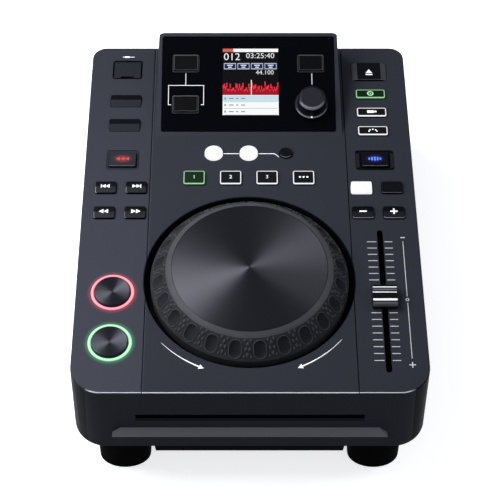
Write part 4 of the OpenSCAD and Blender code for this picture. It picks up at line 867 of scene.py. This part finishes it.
class PLAYER_OT_mode_keys(bpy.types.Operator):
    """Direction and jog mode keys, whose signs glow, and the plates that line their recesses"""
    bl_idname = "player.mode_keys"
    bl_label = "Mode Keys"

    def execute(self, context):
        reach = (8.2, 4.6)
        layer = 0.03
        arrows = [(arrow, step * 3.5 + 0.4, 0, 2.0, pi, layer) for step in (-1, 0, 1)]
        bars = [(bar, step * 2.1, 0, 1.25, tall, layer)
                for step, tall in ((-2, 2.0), (-1, 3.2), (0, 3.8), (1, 3.2), (2, 2.0))]
        for name, hue, dim, shade, sign in (("direction_key", "#D04A52", "#B01E2A", "#24262C", arrows),
                                            ("jog_mode_key", "#6C8CFF", "#2230A8", "#0C0C11", bars)):
            x, y, top = centre_of(name)
            smoke = linear(shade)
            body = body_of(name)
            round_cap(name, black_abs(smoke, "satin_abs_" + name),
                      context.scene.player_keys.cap_break)
            light = backlight(name + "_glow", (x * MM, y * MM, top * MM), reach, smoke, linear(dim))
            bright = lit_polycarbonate(name + "_sign", linear(hue), linear(hue), 1.0)
            printed(drawn((spot, 0, 0, 1.0, layer, 40, 0.0, reach)), name + "_backlight", body, light,
                    on_panel(x, y, top))
            printed(drawn(*sign), name + "_mark", body, bright, on_panel(x, y, top + layer))

        # The plates lie just below the panel's top: inner and outer are half sizes
        for name, hue, inner, outer in (
                ("direction_key", "#2A2C32", (10.6, 7.4), (12.1, DIRECTION_L / 2 - 0.2)),
                ("jog_mode_key", "#212227", (11.6, 0), (JOG_MODE_W / 2 - 0.3, 7.0))):
            x, y, _ = centre_of(name)
            shape = bmesh.new()
            for side in (-1, 1):
                bar(shape, side * (inner[0] + outer[0]) / 2, 0, outer[0] - inner[0], outer[1] * 2, 0.1)
                if inner[1]:
                    bar(shape, 0, side * (inner[1] + outer[1]) / 2, inner[0] * 2, outer[1] - inner[1], 0.1)
            liner = plain_moulding("moulded_abs_liner_" + name, hue, 0.4, sheen=0.03)
            printed(shape, name + "_liner", "deck", liner, on_panel(x, y, PANEL_Z - 0.5))
        return {"FINISHED"}


class PLAYER_OT_glass_keys(bpy.types.Operator):
    """Tap, lock and back keys, which stand through the glass with sloped skirts"""
    bl_idname = "player.glass_keys"
    bl_label = "Glass Keys"

    def execute(self, context):
        looks = [
            plain_moulding("satin_abs_jet", "#0B0B0D", 0.4, sheen=0.04),
            plain_moulding("satin_abs_skirt", "#040405", 0.4, sheen=0.02),
            plain_moulding("highlight_abs_edge", "#5E5F64", 0.4, sheen=0.05),
        ]
        for name in ("tap_key", "lock_key", "back_key"):
            shape = merged(name)
            bmesh.ops.transform(shape, matrix=on_glass().inverted(), verts=shape.verts)
            top = max(v.co.z for v in shape.verts)
            flat = [f for f in shape.faces if f.normal.z > 0.99 and f.calc_center_median().z > top - 0.01]
            repaint(shape, 1, lambda f: True)
            # Outwards in: a painted highlight line, the sloped skirt, a painted highlight line, the cap
            steps = []
            for thickness, look in ((0.25, 2), (0.85, 1), (0.22, 2)):
                steps.append(bmesh.ops.inset_region(shape, faces=flat, thickness=thickness,
                                                    use_even_offset=True)["faces"])
                repaint(shape, look, lambda f: f in steps[-1])
            repaint(shape, 0, lambda f: f in flat)
            outer = list({v for face in steps[0] for v in face.verts})
            bmesh.ops.translate(shape, verts=outer, vec=(0, 0, -1.3))
            bmesh.ops.transform(shape, matrix=on_glass(), verts=shape.verts)
            key_cap(name, shape, looks, smooth=20)
        return {"FINISHED"}


class PLAYER_OT_key_signs(bpy.types.Operator):
    """White signs and plain numbers on the keys"""
    bl_idname = "player.key_signs"
    bl_label = "Key Signs"

    def execute(self, context):
        green = screen_ink("green_screen_ink", linear("#A9DDAA"), 0.4)

        def turn_of(way):
            return 0 if way > 0 else pi

        def double(way):
            return [(arrow, step * 1.75, 0.6, 2.2, turn_of(way), SIGN) for step in (-1, 1)]

        def skip(way):
            heads = [(arrow, step * 1.5 - way * 0.4, 0.8, 1.9, turn_of(way), SIGN) for step in (-1, 1)]
            return [*heads, (bar, way * 3.3, 0.8, 0.7, 3.2, SIGN)]

        minus = (bar, 0, 0.6, 5.4, 1.2, SIGN)
        fan = [(3.0 * cos(turn), 1.9 * sin(turn) - 0.8) for turn in (radians(45 * i) for i in range(5))]
        signs = [
            ("track_back_key", "track_back_sign", skip(-1)),
            ("track_next_key", "track_next_sign", skip(1)),
            ("search_back_key", "search_back_sign", double(-1)),
            ("search_forward_key", "search_forward_sign", double(1)),
            ("bend_down_key", "bend_down_sign", [minus]),
            ("bend_up_key", "bend_up_sign", [minus, (bar, 0, 0.6, 1.2, 5.2, SIGN + 0.005)]),
            ("eject_key", "eject_sign", [(spot, 0, -0.9, 2.7, SIGN, 3, 0, (1.15, 1.0)),
                                         (bar, 0, -3.8, 5.4, 1.0, SIGN)]),
            *((f"hot_cue_key_{n}", f"hot_cue_number_{n}", [(numerals, str(n), 0, 0.2, 4.6)])
              for n in (1, 2, 3)),
            ("source_key_1", "source_disc_sign",
             [(band, 0, 0.2, 1.5, 2.5, SIGN), (spot, 0, 0.2, 0.6, SIGN, 20)]),
            ("source_key_2", "source_stick_sign",
             [(bar, -0.9, 0.2, 5.2, 2.6, SIGN), (bar, 2.9, 0.2, 1.8, 1.7, SIGN)]),
            ("source_key_3", "source_dots_sign", [(spot, x, y, 0.65, SIGN, 16) for x, y in fan]),
            ("memo_key", "memo_sign", [(spot, step * 2.8, 0.2, 0.8, SIGN, 20) for step in (-1, 0, 1)]),
        ]
        for key, label, rows in signs:
            tint = green if key in ("hot_cue_key_1", "source_key_1") else ink()
            printed(drawn(*rows), label, body_of(key), tint, on_panel(*centre_of(key)))
        return {"FINISHED"}


class PLAYER_OT_panel_marks(bpy.types.Operator):
    """Printed lines, ticks and arrows on the panel"""
    bl_idname = "player.panel_marks"
    bl_label = "Panel Marks"

    def execute(self, context):
        y = centre_of("loop_in_key")[1]
        shape = drawn((slanted, (-19.2, y), (-7.3, y), 0.55), (slanted, (7.4, y), (19.6, y), 0.55),
                      (slanted, (19.5, y + 0.1), (22.8, y - 3.2), 0.5))
        printed(shape, "loop_line", "deck", ink(), on_panel())

        # Arrows round the wheel, which widen towards their heads
        shape = bmesh.new()
        r = 82.5
        steps = 26
        for start, end in ((222.0, 245.1), (320.6, 295.6)):
            way = 1 if end > start else -1
            for i in range(steps):
                a, b = (radians(start + (end - start) * k / steps) for k in (i, i + 1.05))
                wide = 0.22 + 0.8 * ((i + 1) / steps) ** 1.4
                slanted(shape, (r * cos(a), r * sin(a)), (r * cos(b), r * sin(b)), wide)
            tip = radians(end + way * 0.6)
            arrow(shape, r * cos(tip), r * sin(tip), 2.3, tip + way * pi / 2, INK + 0.005)
        printed(shape, "turn_arrows", "deck", ink(), on_panel(0, JOG_Y))

        # Ticks on both sides of the fader: the middle ones are left out, where the knob stands at rest
        shape = bmesh.new()
        for i in (*range(8), *range(12, 19)):
            y = forward(26.3) + i * 5.733
            bar(shape, 88.9, y, 6.8, 0.6)
            bar(shape, 101.0, y, 5.8, 0.6)
        printed(shape, "fader_ticks", "deck", screen_ink("grey_screen_ink", linear("#C0C1C6"), 0.12),
                on_panel())
        x = 111.5
        shape = drawn(
            (slanted, (x, forward(28)), (x, forward(75.0)), 0.45),
            (slanted, (x, forward(80.6)), (x, forward(130)), 0.45),
            (band, x, forward(77.8), 0.75, 1.3, INK, 0.0, 2 * pi, 24),
            (bar, x, forward(133.4), 3.0, 0.8),
            (bar, x, forward(22.7), 4.6, 0.75),
            (bar, x, forward(22.7), 0.75, 4.6, INK + 0.01))
        pale = screen_ink("pale_grey_screen_ink", linear("#C2C3C8"), 0.2)
        printed(shape, "fader_scale", "deck", pale, on_panel())

        # A small plug sign behind the port cover
        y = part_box("port_cover")[1].y / MM + 5.2
        shape = drawn((bar, -96.2, y, 3.6, 1.6), (bar, -98.8, y, 1.6, 0.5), (bar, -92.4, y, 4.0, 0.5))
        printed(shape, "port_sign", "deck", ink(), on_panel())
        return {"FINISHED"}


class PLAYER_OT_dials(bpy.types.Operator):
    """Cue and play buttons and their lit rings"""
    bl_idname = "player.dials"
    bl_label = "Cue and Play"

    def execute(self, context):
        profile = ((13.15, -4.5), (15.4, -4.5), (15.45, 0.2), (15.1, 0.6), (13.5, 0.6), (13.15, 0.2))
        for label, core, edge in (("cue", "#FFB4C2", "#D02846"), ("play", "#CFFFDC", "#35B060")):
            name = label + "_button"
            x, y, top = centre_of(name)
            cap = metallised_cap("metallised_abs_" + label, axis_of(name))
            dress(name, label + "_cap", cap, 0.25, above(top - 1), 2, 25)
            light = halo("light_guide_" + label, axis_of(name), linear(core), linear(edge))
            ring = drawn((lathe, 0, 0, profile, 0.0, 2 * pi, 72))
            printed(ring, label + "_light", "deck", light, on_panel(x, y), 50,
                    ("light_rings",) if label == "cue" else ())
        return {"FINISHED"}


class PLAYER_OT_jog(bpy.types.Operator):
    """Jog wheel: spun disc, rubber ring with its studs, and the shaft under it"""
    bl_idname = "player.jog"
    bl_label = "Jog Wheel"

    def execute(self, context):
        jog = context.scene.player_jog
        disc = spun_aluminium(tuple(jog.disc), (0, JOG_Y * MM, 0))
        dress("jog_disc", "spun_disc", disc, smooth=20)
        grip = tuple(jog.grip)
        rubber = moulded_rubber("rubberised_grip", grip)
        # Painted shade: the dimples' rubber is painted darker
        hollow = moulded_rubber("rubberised_grip_shaded", shaded(grip, 0.7))
        # Painted light: the flat top round the disc and the studs are painted paler, as lit
        bevel = moulded_rubber("rubberised_bevel_lit", shaded(grip, 2.0), 0.5, 0.01, 0.45, 0.1)
        raised = moulded_rubber("rubberised_studs_lit", shaded(grip, 1.9), 0.5, 0.01)
        rise = GRIP_TOP / (RING_R - GRIP_IN)
        fall = atan2(GRIP_TOP, RING_R - GRIP_IN)
        ring = merged("jog_ring")
        for face in ring.faces:
            spots = [(hypot(v.co.x / MM, v.co.y / MM - JOG_Y), v.co.z / MM - PANEL_Z) for v in face.verts]
            depth = [(r - RING_R) * sin(fall) + z * cos(fall) for r, z in spots]
            if face.normal.z > 0.8 and all(z > GRIP_TOP - 0.1 and r < GRIP_IN + 0.1 for r, z in spots):
                face.material_index = 2
            elif face.normal.z > 0.3 and -1.4 < min(depth) < -0.04 and max(depth) < 0.05:
                face.material_index = 1
        piece(ring, "grip_ring", "jog", [rubber, hollow, bevel], ("jog_ring",), 28)

        # Studs between the dimples, as shares of a dimple's turn, and a bead round each dimple
        studs = bmesh.new()
        for i in range(jog.studs):
            for off, r, size in ((0.37, 60.9, 1.1), (0.5, 62.6, 1.3), (0.63, 60.9, 1.1),
                                 (0.42, 65.0, 1.2), (0.58, 65.0, 1.2), (0.5, 67.6, 1.3), (0.36, 68.6, 0.9),
                                 (0.64, 68.6, 0.9)):
                turn = Matrix.Rotation(2 * pi * (i + off) / jog.studs + DIMPLE_TURN, 4, "Z")
                place = (turn @ Matrix.Translation((r, 0, (RING_R - r) * rise))
                         @ Matrix.Rotation(fall, 4, "Y") @ Matrix.Diagonal((1.3, 0.8, 0.55, 1)))
                bmesh.ops.create_icosphere(studs, subdivisions=2, radius=size, matrix=place)
            turn = Matrix.Rotation(2 * pi * i / jog.studs + DIMPLE_TURN, 4, "Z")
            middle = Matrix.Translation(((RING_R + GRIP_IN) / 2, 0, GRIP_TOP / 2))
            bead(studs, turn @ middle @ Matrix.Rotation(fall, 4, "Y"), 2.2, 4.45, 0.38)
        bmesh.ops.transform(studs, matrix=on_panel(0, JOG_Y), verts=studs.verts)
        piece(studs, "grip_studs", "jog", raised, smooth=60)
        paint("jog_shaft", steel())
        paint("jog_bearing", plated("sintered_bronze", "#A9824A", 0.45))
        return {"FINISHED"}


class PLAYER_OT_fader(bpy.types.Operator):
    """Pitch fader: knob with its bright lines, carriage and track"""
    bl_idname = "player.fader"
    bl_label = "Pitch Fader"

    def execute(self, context):
        dress("fader_knob", "fader_cap", cap_black(), 0.35)
        low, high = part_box("fader_knob")
        x, y, top = centre_of("fader_knob")
        half = (high.y - low.y) / 2 / MM
        top -= PANEL_Z
        # The knob's saddle lies this far below its two ends
        saddle = top - 1.17
        lines = drawn((bar, 0, half * 0.6, 17.0, 0.75, 0.3, top - 0.26),
                      (bar, 0, half * 0.2, 17.0, 0.7, 0.3, saddle - 0.24),
                      (bar, 0, -half * 0.6, 17.0, 1.7, 0.3, top - 0.26))
        bright = screen_ink("pad_printed_white", linear("#EDEDF0"), 0.3)
        printed(lines, "fader_lines", "fader", bright, on_panel(x, y), 35)
        line = drawn((bar, 0, -half * 0.93, 15.0, 0.6, 0.5, top * 0.64))
        printed(line, "fader_low_line", "fader", plated("dull_foil", "#6A6B70", 0.5, 0.5), on_panel(x, y),
                35)
        paint("fader_carriage", plain_moulding("black_acetal", "#0C0C0E", 0.5))
        paint("fader_track", powder_coat(linear("#0A0A0B")))
        return {"FINISHED"}


class PLAYER_OT_screen(bpy.types.Operator):
    """Pod: frame, printed glass and the picture that the display shows"""
    bl_idname = "player.screen"
    bl_label = "Screen"

    def execute(self, context):
        case = context.scene.player_case
        screen = context.scene.player_screen
        dress("screen_frame", "pod_frame", satin_abs(tuple(case.frame)), case.edge_break,
              above(PANEL_Z + 0.5), 3)
        dress("screen_glass", "pod_glass", printed_glass(tuple(screen.glass)))

        # Lines printed on the glass, between the keys
        lines = [((-48.5, 49.8), (-48.5, 39.5)), ((-62.1, 39.5), (-34.2, 39.5)), ((49.3, 49.8), (49.3, 40.2))]
        for side in (-1, 1):
            x = -48.2 + side * 13.6
            lines += [((x, 39.5), (x, 22.6)), ((x, 22.9), (-48.2 + side * 11.4, 22.9))]
        pale = screen_ink("glass_ink", linear("#D6D7DA"), 0.45)
        printed(drawn(*((slanted, *ends, 0.45) for ends in lines)), "glass_lines", "deck", pale, on_glass())

        wide = screen.width
        middle, left, right = DISPLAY_X, DISPLAY_X - wide / 2, DISPLAY_X + wide / 2
        low, high = DISPLAY_LOW, DISPLAY_LOW + screen.length
        list_top = 31.2
        boxes = [left + 5.6 + i * 10.55 for i in range(4)]
        texts = (("012", left + 7.2, 64.2, 8.8), ("03:25:40", right - 14.0, 65.2, 6.5),
                 ("44.100", right - 10.5, 50.6, 5.2))

        def wave(share, base=31.4, count=48):
            step = wide / count
            for i in range(count):
                swell = 7.0 + 2.6 * sin(i * 0.9) * sin(i * 0.37 + 1) + 2.6 * sin(i * 2.3 + 0.6)
                tall = max(4.4, min(11.6, swell)) * share
                yield left + (i + 0.5) * step, base + tall / 2, step * 0.98, tall

        row_marks = []
        for y in (28.2, 22.6, 17.0):
            row_marks.append((left + 2.0, y, 1.2, 1.6))
            row_marks += [(left + 6.6 + i * 4.6, y, length, 0.8) for i, length in enumerate((3.6, 1.8, 3.0))]
            row_marks.append((middle, y - 2.9, wide - 2, 0.25))

        # Bars of each layer: the middle, the width and the length; a layer lies its lift above the glass
        layers = (
            ("black_field", "#050508", 0.0, [(middle, (low + high) / 2, wide, high - low)]),
            ("title_bar", "#FFFFFF", 0.02, [((left + 8.2 + right) / 2, high - 1.5, wide - 8.2, 2.9)]),
            ("title_flag", "#D9604F", 0.02, [(left + 4.1, high - 1.5, 8.2, 2.9)]),
            ("readout", "#F6F7F8", 0.02, texts),
            ("boxes", "#B9C6E2", 0.02, [(x, 56.2, 9.4, 5.4) for x in boxes]),
            ("box_fields", "#131D42", 0.03, [(x, 56.2, 8.4, 3.9) for x in boxes]),
            ("box_marks", "#E8ECF2", 0.04,
             [(x, y, w, 0.9) for x in boxes for y, w in ((57.0, 4.4), (55.3, 2.8))]),
            ("wave", "#F0303F", 0.02, wave(1.0)),
            ("wave_body", "#A30F22", 0.04, wave(0.62)),
            ("play_head", "#FFE9EA", 0.06, [(2.3, 37.8, 0.7, 12.8)]),
            ("rows", "#FAFDFE", 0.02, [(middle, (low + list_top) / 2, wide, list_top - low)]),
            ("chosen_row", "#C9E3EC", 0.04, [(middle, 28.2, wide, 5.0)]),
            ("row_marks", "#7D8A90", 0.06, row_marks),
        )
        for label, hue, lift, marks in layers:
            if label == "readout":
                shape = drawn(*((numerals, *text, FILM, 0.03) for text in marks))
            else:
                shape = drawn(*((bar, *mark, FILM) for mark in marks))
            light = lit_segment("display_" + label, linear(hue), 0.3 if label == "black_field" else 1.0)
            printed(shape, label, "deck", light, on_glass(z=lift))
        return {"FINISHED"}


class PLAYER_OT_select(bpy.types.Operator):
    """Select knob with its skirt, and the encoder under the glass"""
    bl_idname = "player.select"
    bl_label = "Select Knob"

    def execute(self, context):
        knob = black_abs(linear("#131318"), "turned_knob_abs")
        dress("select_knob", "select_cap", knob, 0.5, above(PANEL_Z + 3), 3, 30)
        joint = next(j for j in frame["joints"] if j["name"] == "select_turn")
        dot = drawn((spot, 0, -11.9, 0.7, 0.2, 20))
        printed(dot, "select_dot", "select_turn", ink(), on_glass(joint["pos_m"][0] / MM, 23.0, 2.45))
        paint("select_plunger", plain_moulding("acetal_white", "#D8D5CB", 0.4))
        paint("select_encoder", steel())
        return {"FINISHED"}


class PLAYER_OT_port(bpy.types.Operator):
    """Hinged port cover, a painted shade line round it and the socket under it"""
    bl_idname = "player.port"
    bl_label = "Port Cover"

    def execute(self, context):
        lid = moulded_abs("moulded_abs_lid", shaded(tuple(context.scene.player_case.panel), 0.6))
        dress("port_cover", "port_lid", lid, 0.25, above(PANEL_Z - 0.3))
        low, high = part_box("port_cover")
        x, y, _ = centre_of("port_cover")
        wide, deep = COVER_W + 1.9, (high.y - low.y) / MM + 1.9
        round_r, line, height = 1.7, 0.5, 0.03
        shape = bmesh.new()
        for side in (-1, 1):
            bar(shape, side * wide / 2, 0, line, deep - 2 * round_r, height)
            bar(shape, 0, side * deep / 2, wide - 2 * round_r, line, height)
            for end in (-1, 1):
                band(shape, side * (wide / 2 - round_r), end * (deep / 2 - round_r), round_r - line / 2,
                     round_r + line / 2, height, atan2(end, side) - pi / 4, pi / 2, 8)
        # Painted shade: a dark line printed on the panel round the cover stands for the shade in its gap
        black = plain_moulding("gap_shade_print", "#060608", 0.5, sheen=0.02)
        printed(shape, "port_gap_shade", "deck", black, on_panel(x, y))
        paint("port_socket", steel())
        return {"FINISHED"}


class PLAYER_OT_inside(bpy.types.Operator):
    """Disc drive with its turntable, laser sled, gear and roller, and the circuit boards"""
    bl_idname = "player.inside"
    bl_label = "Drive and Boards"

    def execute(self, context):
        paint("drive_chassis", steel())
        paint("turntable", plain_moulding("glass_filled_nylon", "#141416", 0.4))
        paint("laser_sled", plain_moulding("sled_abs", "#111113", 0.45))
        paint("sled_gear", plain_moulding("gear_acetal", "#DAD6C9", 0.35))
        paint("load_roller", moulded_rubber("roller_rubber", linear("#161618")))
        mask = solder_mask()
        paint("control_boards", mask)
        paint("main_boards", mask)
        return {"FINISHED"}


class PLAYER_OT_sockets(bpy.types.Operator):
    """Rear sockets, power inlet and rocker"""
    bl_idname = "player.sockets"
    bl_label = "Rear Sockets"

    def execute(self, context):
        dress("rear_sockets", "plated_sockets", plated("nickel_plate", "#C7C4BC", 0.22), 0.2)
        nylon = plain_moulding("moulded_nylon_black", "#101012", 0.35)
        dress("power_inlet", "power_inlet_moulding", nylon, 0.3)
        dress("power_switch", "power_rocker", nylon, 0.3)
        return {"FINISHED"}


def seen_by(tree, *rays):
    """Mask of the rays for which the backdrop is plain white."""
    path = add(tree, "LightPath")
    mask = path.outputs[rays[0]]
    for ray in rays[1:]:
        mask = add(tree, "Math", {0: mask, 1: path.outputs[ray]}, operation="MAXIMUM")
    return mask


class PLAYER_OT_studio(bpy.types.Operator):
    """Floor, lamps, world and camera"""
    bl_idname = "player.studio"
    bl_label = "Studio"

    def execute(self, context):
        studio = context.scene.player_studio
        scene = context.scene
        shape = bmesh.new()
        bmesh.ops.create_grid(shape, x_segments=1, y_segments=1, size=6.0)
        paper, tree, shader, place = finish("white_paper", (0.9, 0.9, 0.9), 0.9, specular_ior_level=0.0)
        floor = meshed(shape, "floor", [paper])
        seen = seen_by(tree, "Is Camera Ray", "Is Glossy Ray", "Is Transmission Ray")
        # Far from the part the paper runs into a plain white backdrop, where the lamps don't reach
        away = add(tree, "VectorMath", {0: place}, operation="LENGTH")
        far = add(tree, "MapRange", {"Value": away, "From Min": 0.5, "From Max": 1.3},
                  interpolation_type="SMOOTHSTEP")
        pale = add(tree, "Math", {0: far, 1: -0.98, 2: 0.98}, operation="MULTIPLY_ADD")
        feed(shader, "Base Color", add(tree, "Mix", {
            "Factor": seen, "A": (0.12, 0.12, 0.12), "B": pale}, data_type="RGBA"))
        bright = add(tree, "Math", {0: far, 1: 0.38, 2: 0.62}, operation="MULTIPLY_ADD")
        glow(shader, (1, 1, 1), where(tree, seen, bright))

        world = bpy.data.worlds.new("studio")
        scene.world = world
        world.use_nodes = True
        tree = world.node_tree
        tree.nodes.clear()
        # Dim at the horizon and brighter overhead, as from a grey ceiling
        way = add(tree, "SeparateXYZ", {"Vector": add(tree, "TexCoord").outputs["Generated"]})
        height = where(tree, (way.outputs["Z"], 0.0, 1.0, studio.level * 0.6, studio.level * 1.2))
        plain = add(tree, "Background", {"Color": (0.9, 0.95, 1.15), "Strength": height})
        white = add(tree, "Background", {"Color": (1, 1, 1), "Strength": 1.0})
        backdrop = add(tree, "MixShader", {
            0: seen_by(tree, "Is Camera Ray", "Is Transmission Ray"), 1: plain, 2: white})
        add(tree, "OutputWorld", {"Surface": backdrop})

        target = Vector((0, 0, 0.09))
        for name, at, size, power in LAMPS:
            light = bpy.data.lights.new(name, "AREA")
            light.size = size
            light.energy = power
            lamp = linked(name, light)
            lamp.location = at
            lamp.rotation_euler = (target - Vector(at)).to_track_quat("-Z", "Y").to_euler()
            # The front lamp only lifts the shade: metal and glass don't mirror it
            lamp.visible_glossy = name != "lamp_front"

        lens = bpy.data.cameras.new("camera")
        lens.lens = studio.lens
        lens.sensor_width = 36.0
        lens.shift_x = 0.03
        lens.clip_start = 0.05
        eye = linked("camera", lens)
        eye.location = CAMERA_AT
        eye.rotation_euler = (CAMERA_TILT, 0, 0)
        scene.camera = eye
        scene.view_settings.view_transform = "Standard"
        return {"FINISHED"}


OPERATORS = (
    PLAYER_OT_case, PLAYER_OT_plain_keys, PLAYER_OT_lit_keys, PLAYER_OT_mode_keys, PLAYER_OT_glass_keys,
    PLAYER_OT_key_signs, PLAYER_OT_panel_marks, PLAYER_OT_dials, PLAYER_OT_jog, PLAYER_OT_fader,
    PLAYER_OT_screen, PLAYER_OT_select, PLAYER_OT_port, PLAYER_OT_inside, PLAYER_OT_sockets, PLAYER_OT_studio,
)


class PLAYER_PT_panel(bpy.types.Panel):
    """Lists the pieces and their sizes and colours"""
    bl_label = "Disc Player"
    bl_idname = "PLAYER_PT_panel"
    bl_space_type = "VIEW_3D"
    bl_region_type = "UI"
    bl_category = "Player"

    def draw(self, context):
        for name, group in GROUPS.items():
            box = self.layout.box()
            held = getattr(context.scene, name)
            for field in group.__annotations__:
                box.prop(held, field)
        for operator in OPERATORS:
            self.layout.operator(operator.bl_idname)


CLASSES = (*GROUPS.values(), *OPERATORS, PLAYER_PT_panel)


def register():
    for held in CLASSES:
        bpy.utils.register_class(held)
    for name, group in GROUPS.items():
        setattr(bpy.types.Scene, name, PointerProperty(type=group))


def unregister():
    for name in GROUPS:
        delattr(bpy.types.Scene, name)
    for held in reversed(CLASSES):
        bpy.utils.unregister_class(held)


def main():
    register()
    for operator in OPERATORS:
        group, call = operator.bl_idname.split(".")
        getattr(getattr(bpy.ops, group), call)()


if __name__ == "__main__":
    main()
